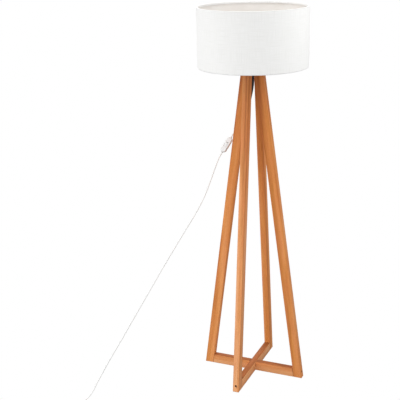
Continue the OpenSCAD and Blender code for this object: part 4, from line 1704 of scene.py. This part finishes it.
@dataclass
class Flex:
    """The cord: black relief and sleeve under the hub, white cord, switch, coil and plug.

    The route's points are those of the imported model's cord solids.
    """

    diameter: float = 0.006
    relief_r: float = 0.0052
    relief_core: float = 0.0044
    relief_taper: float = 0.0005
    collars: int = 14
    collar_t: float = 0.0026
    sleeve_r: float = 0.0049
    relief_mm: tuple[Point, ...] = ((0, 0, 1322), (0, 0, 1302), (-2, 1, 1282), (-6, 4, 1262))
    sleeve_mm: tuple[Point, ...] = (
        (-6, 4, 1262), (-11, 8, 1245), (-16, 12, 1228), (-21, 17, 1212),
    )
    upper_mm: tuple[Point, ...] = (
        (-21, 17, 1212), (-31, 22, 1192), (-42, 26, 1170), (-54, 29, 1147), (-66, 30, 1124),
        (-78, 29, 1101), (-91, 25, 1079),
    )
    lower_mm: tuple[Point, ...] = (
        (-148, -21, 966), (-159, -35, 930), (-172, -50, 882), (-187, -69, 830), (-204, -90, 782),
        (-225, -114, 735), (-247, -139, 690), (-270, -166, 643), (-292, -191, 597),
        (-315, -217, 549), (-338, -243, 500), (-361, -269, 450), (-384, -295, 400),
        (-407, -321, 350), (-430, -347, 300), (-453, -373, 250), (-476, -398, 201),
        (-499, -423, 152), (-521, -448, 103), (-539, -471, 59), (-548, -486, 34),
        (-558, -505, 15), (-567, -527, 5), (-575, -548, 3), (-582, -569, 3),
    )
    tail_mm: tuple[Point, ...] = (
        (-555, -641, 9), (-545, -641, 9), (-532, -642, 8.6), (-518, -643, 7.4), (-505, -643, 6.8),
    )
    coil_middle: tuple[float, float] = (-0.555, -0.604)
    coil_in: float = 0.031
    coil_out: float = 0.037
    coil_start_deg: float = 159.0
    coil_turns: float = 3 + 111 / 360
    coil_steps: int = 40
    tie_deg: float = 60.0
    tie_w: float = 0.008
    tie_t: float = 0.0008
    tie_corner: float = 0.0028

    @staticmethod
    def metres(points: Sequence[Point]) -> list[Vector]:
        """Turns points in millimetres into vectors in metres."""
        return [Vector(p) * MM for p in points]

    @staticmethod
    def eased(t: float, start: float, end: float) -> float:
        """Rises smoothly from 0 at start to 1 at end."""
        x = min(1.0, max(0.0, (t - start) / (end - start)))
        return x * x * (3 - 2 * x)

    def coil(self) -> list[Vector]:
        """Turns lying beside and on each other: outer low, inner low, inner high, outer high."""
        out = []
        step_in = self.coil_out - self.coil_in
        count = int(self.coil_turns * self.coil_steps)
        for i in range(count + 1):
            t = self.coil_turns * i / count
            r = self.coil_out - step_in * (self.eased(t, 0.7, 0.95) - self.eased(t, 2.35, 2.6))
            z = self.diameter * (0.5 + self.eased(t, 1.45, 1.7))
            a = math.radians(self.coil_start_deg) + TAU * t
            x, y = self.coil_middle
            out.append(Vector((x + r * math.cos(a), y + r * math.sin(a), z)))
        return out

    def cord(self, name: str, path: Sequence[Vector], nodes: Sequence[str]) -> bpy.types.Object:
        """A round sheath along a path, as a curve of one open spline."""
        curve = route_curve(name, path)
        curve.bevel_depth = self.diameter / 2
        curve.bevel_resolution = 4
        curve.use_fill_caps = True
        obj = link_new(name, curve)
        return dress(obj, SHEATH.build(), Body.FRAME, nodes)

    def tie(self) -> bpy.types.Object:
        """A flat band closed round the coil's turns."""
        half_r = (self.coil_out - self.coil_in) / 2 + self.diameter / 2
        middle_r, high = (self.coil_in + self.coil_out) / 2, 2 * self.diameter
        a = math.radians(self.tie_deg)
        out = Vector((math.cos(a), math.sin(a), 0))
        along = Vector((-math.sin(a), math.cos(a), 0))
        centre = Vector((*self.coil_middle, 0)) + out * middle_r
        loops = []
        for grow in (self.tie_t, 0.0):
            reach, low, top = half_r + grow, self.tie_t - grow, high + grow
            corner = self.tie_corner + grow
            box = [(-reach, low, corner), (reach, low, corner), (reach, top, corner)]
            loops.append(rounded([*box, (-reach, top, corner)], 5))
        bm = bmesh.new()
        rows = []
        for loop, sides in ((loops[0], (-1, 1)), (loops[1], (1, -1))):
            for side in sides:
                shift = along * (side * self.tie_w / 2)
                spots = [centre + out * x + Vector((0, 0, z)) + shift for x, z in loop]
                rows.append([bm.verts.new(spot) for spot in spots])
        count = len(rows[0])
        for here, there in zip(rows, [*rows[1:], rows[0]]):
            for k in range(count):
                m = (k + 1) % count
                bm.faces.new((here[k], here[m], there[m], there[k]))
        bmesh.ops.recalc_face_normals(bm, faces=bm.faces)
        band = to_object("coil_tie_band", bm, 40.0)
        return dress(band, TIE.build(), Body.FRAME, ["coil_tie"])

    def build(self, switch: InlineSwitch, plug: Plug) -> None:
        black = BLACK_PVC.build()
        path = smooth_route(self.metres(self.relief_mm), 8)
        last = len(path) - 1
        radii = [self.relief_core - self.relief_taper * i / last for i in range(last + 1)]
        relief = loft("hub_strain_relief", tube_rings(path, radii, 24))
        relief = Repeat.along_path(
            relief, path, self.collars, self.relief_r, self.sleeve_r, self.collar_t, black
        )
        dress(relief, black, Body.FRAME, ["strain_relief"])
        path = smooth_route(self.metres(self.sleeve_mm), 6)
        sleeve = loft("cord_black_sleeve", tube_rings(path, [self.sleeve_r] * len(path), 24))
        dress(sleeve, black, Body.FRAME, ["cord_sleeve"])

        on_switch = switch.build()
        on_plug = plug.build()
        path = smooth_route([*self.metres(self.upper_mm), switch.end(-1)], 4)
        upper = self.cord("flex_upper", path, ["cord_upper"])
        coil = self.coil()
        drop = smooth_route([switch.end(1), *self.metres(self.lower_mm), coil[0]], 3)
        tail = smooth_route([coil[-2], *self.metres(self.tail_mm)], 3)[3:]
        path = drop + coil[1:] + tail[1:]
        lower = self.cord("flex_lower", path, ["cord_lower", "cord_coil", "cord_tail"])
        self.tie()


@dataclass(frozen=True)
class SoftLight:
    """A square soft light aimed at the lamp's axis. Lengths are in metres and power in watts."""

    name: str
    # Degrees round the lamp: 0 is in front along -Y and 90 is at +X.
    azimuth: float
    far: float
    high: float
    size: float
    power: float
    aim_high: float = 0.85

    def build(self) -> None:
        """Sets the light up."""
        a = math.radians(self.azimuth)
        place = Vector((math.sin(a) * self.far, -math.cos(a) * self.far, self.high))
        data = bpy.data.lights.new(self.name, "AREA")
        data.size, data.energy = self.size, self.power
        aim = (Vector((0, 0, self.aim_high)) - place).to_track_quat("-Z", "Y")
        obj = link_new(self.name, data)
        obj.matrix_world = Matrix.Translation(place) @ aim.to_matrix().to_4x4()


@dataclass
class Studio:
    """White floor and sky, a soft key from the front left, a small fill from the right, a camera.

    The sky and the floor light the lamp at their own levels but look plain white themselves.
    """

    place: Point = (1.21275, -3.36359, 1.93050)
    heading_deg: float = 23.4415
    pitch_deg: float = 17.5930
    roll_deg: float = -1.2282
    sensor_mm: float = 36.0
    lens: float = 79.666
    lights: tuple[SoftLight, ...] = (
        SoftLight("key", -45.0, 3.0, 1.5, 2.0, 8.0),
        SoftLight("fill", 95.0, 0.95, 1.75, 0.7, 3.3, aim_high=1.6),
    )
    # The sky is brightest towards the window and dimmest away from it.
    window: Point = (-0.64, -0.74, 0.2)
    sky: float = 1.66
    sky_dim: float = 0.6
    floor_glow: float = 0.37
    floor_r: float = 60.0
    floor_z: float = -0.0005

    def camera(self) -> None:
        """Sets the camera at the viewing angle."""
        data = bpy.data.cameras.new("view")
        data.sensor_width, data.lens = self.sensor_mm, self.lens
        data.clip_start, data.clip_end = 0.05, 200.0
        obj = link_new("view", data)
        turn = (
            Matrix.Rotation(math.radians(self.heading_deg), 4, "Z")
            @ Matrix.Rotation(math.radians(90 - self.pitch_deg), 4, "X")
            @ Matrix.Rotation(math.radians(self.roll_deg), 4, "Z")
        )
        obj.matrix_world = Matrix.Translation(self.place) @ turn
        bpy.context.scene.camera = obj

    @staticmethod
    def white_to_view(
        tree: bpy.types.NodeTree, level: bpy.types.NodeSocket
    ) -> bpy.types.NodeSocket:
        """Shows a backdrop as plain white while it lights the lamp at its own level."""
        seen = add_node(tree, "ShaderNodeLightPath").outputs["Is Camera Ray"]
        mix = add_node(
            tree, "ShaderNodeMix", values={3: 1.0}, links={0: seen, 2: level}, data_type="FLOAT"
        )
        return mix.outputs[0]

    def backdrop_sky(self) -> None:
        """Makes the sky, brighter towards the window."""
        world = bpy.data.worlds.new("studio")
        world.use_nodes = True
        tree = world.node_tree
        sky = tree.nodes["Background"]
        sky.inputs["Color"].default_value = (1, 1, 1, 1)
        way = add_node(tree, "ShaderNodeTexCoord").outputs["Generated"]
        lit_side = add_node(
            tree,
            "ShaderNodeVectorMath",
            values={1: Vector(self.window).normalized()},
            links={0: way},
            operation="DOT_PRODUCT",
        ).outputs["Value"]
        level = add_node(
            tree,
            "ShaderNodeMapRange",
            values={"From Min": -1.0, "To Min": self.sky_dim, "To Max": self.sky},
            links={"Value": lit_side},
        ).outputs["Result"]
        tree.links.new(self.white_to_view(tree, level), sky.inputs["Strength"])
        bpy.context.scene.world = world

    def backdrop_floor(self) -> None:
        """Makes the floor, a wide disc that glows evenly."""
        material = bpy.data.materials.new("white_sweep")
        material.use_nodes = True
        tree = material.node_tree
        tree.nodes.clear()
        level = add_node(tree, "ShaderNodeValue").outputs[0]
        level.default_value = self.floor_glow
        glow = add_node(
            tree,
            "ShaderNodeEmission",
            values={"Color": (1, 1, 1, 1)},
            links={"Strength": self.white_to_view(tree, level)},
        )
        add_node(tree, "ShaderNodeOutputMaterial", links={"Surface": glow.outputs["Emission"]})
        bm = bmesh.new()
        bmesh.ops.create_circle(bm, cap_ends=True, segments=64, radius=self.floor_r)
        bmesh.ops.translate(bm, verts=bm.verts, vec=(0, 0, self.floor_z))
        floor = to_object("studio_floor", bm, 0)
        floor.data.materials.append(material)

    def build(self) -> None:
        """Makes the camera, the sky, the floor and the lights."""
        bpy.context.scene.view_settings.view_transform = "Standard"
        self.camera()
        self.backdrop_sky()
        self.backdrop_floor()
        for light in self.lights:
            light.build()


def main() -> None:
    """Builds the scene in order: camera, cords, then every sub-assembly."""
    logging.basicConfig(level=logging.INFO, format="%(name)s: %(message)s")
    Studio().build()
    Flex().build(InlineSwitch(), Plug())
    for part in (Timbers(), WoodScrews(), TubeFittings(), Lampholder(), Bulb(), DrumShade()):
        part.build()


if __name__ == "__main__":
    main()
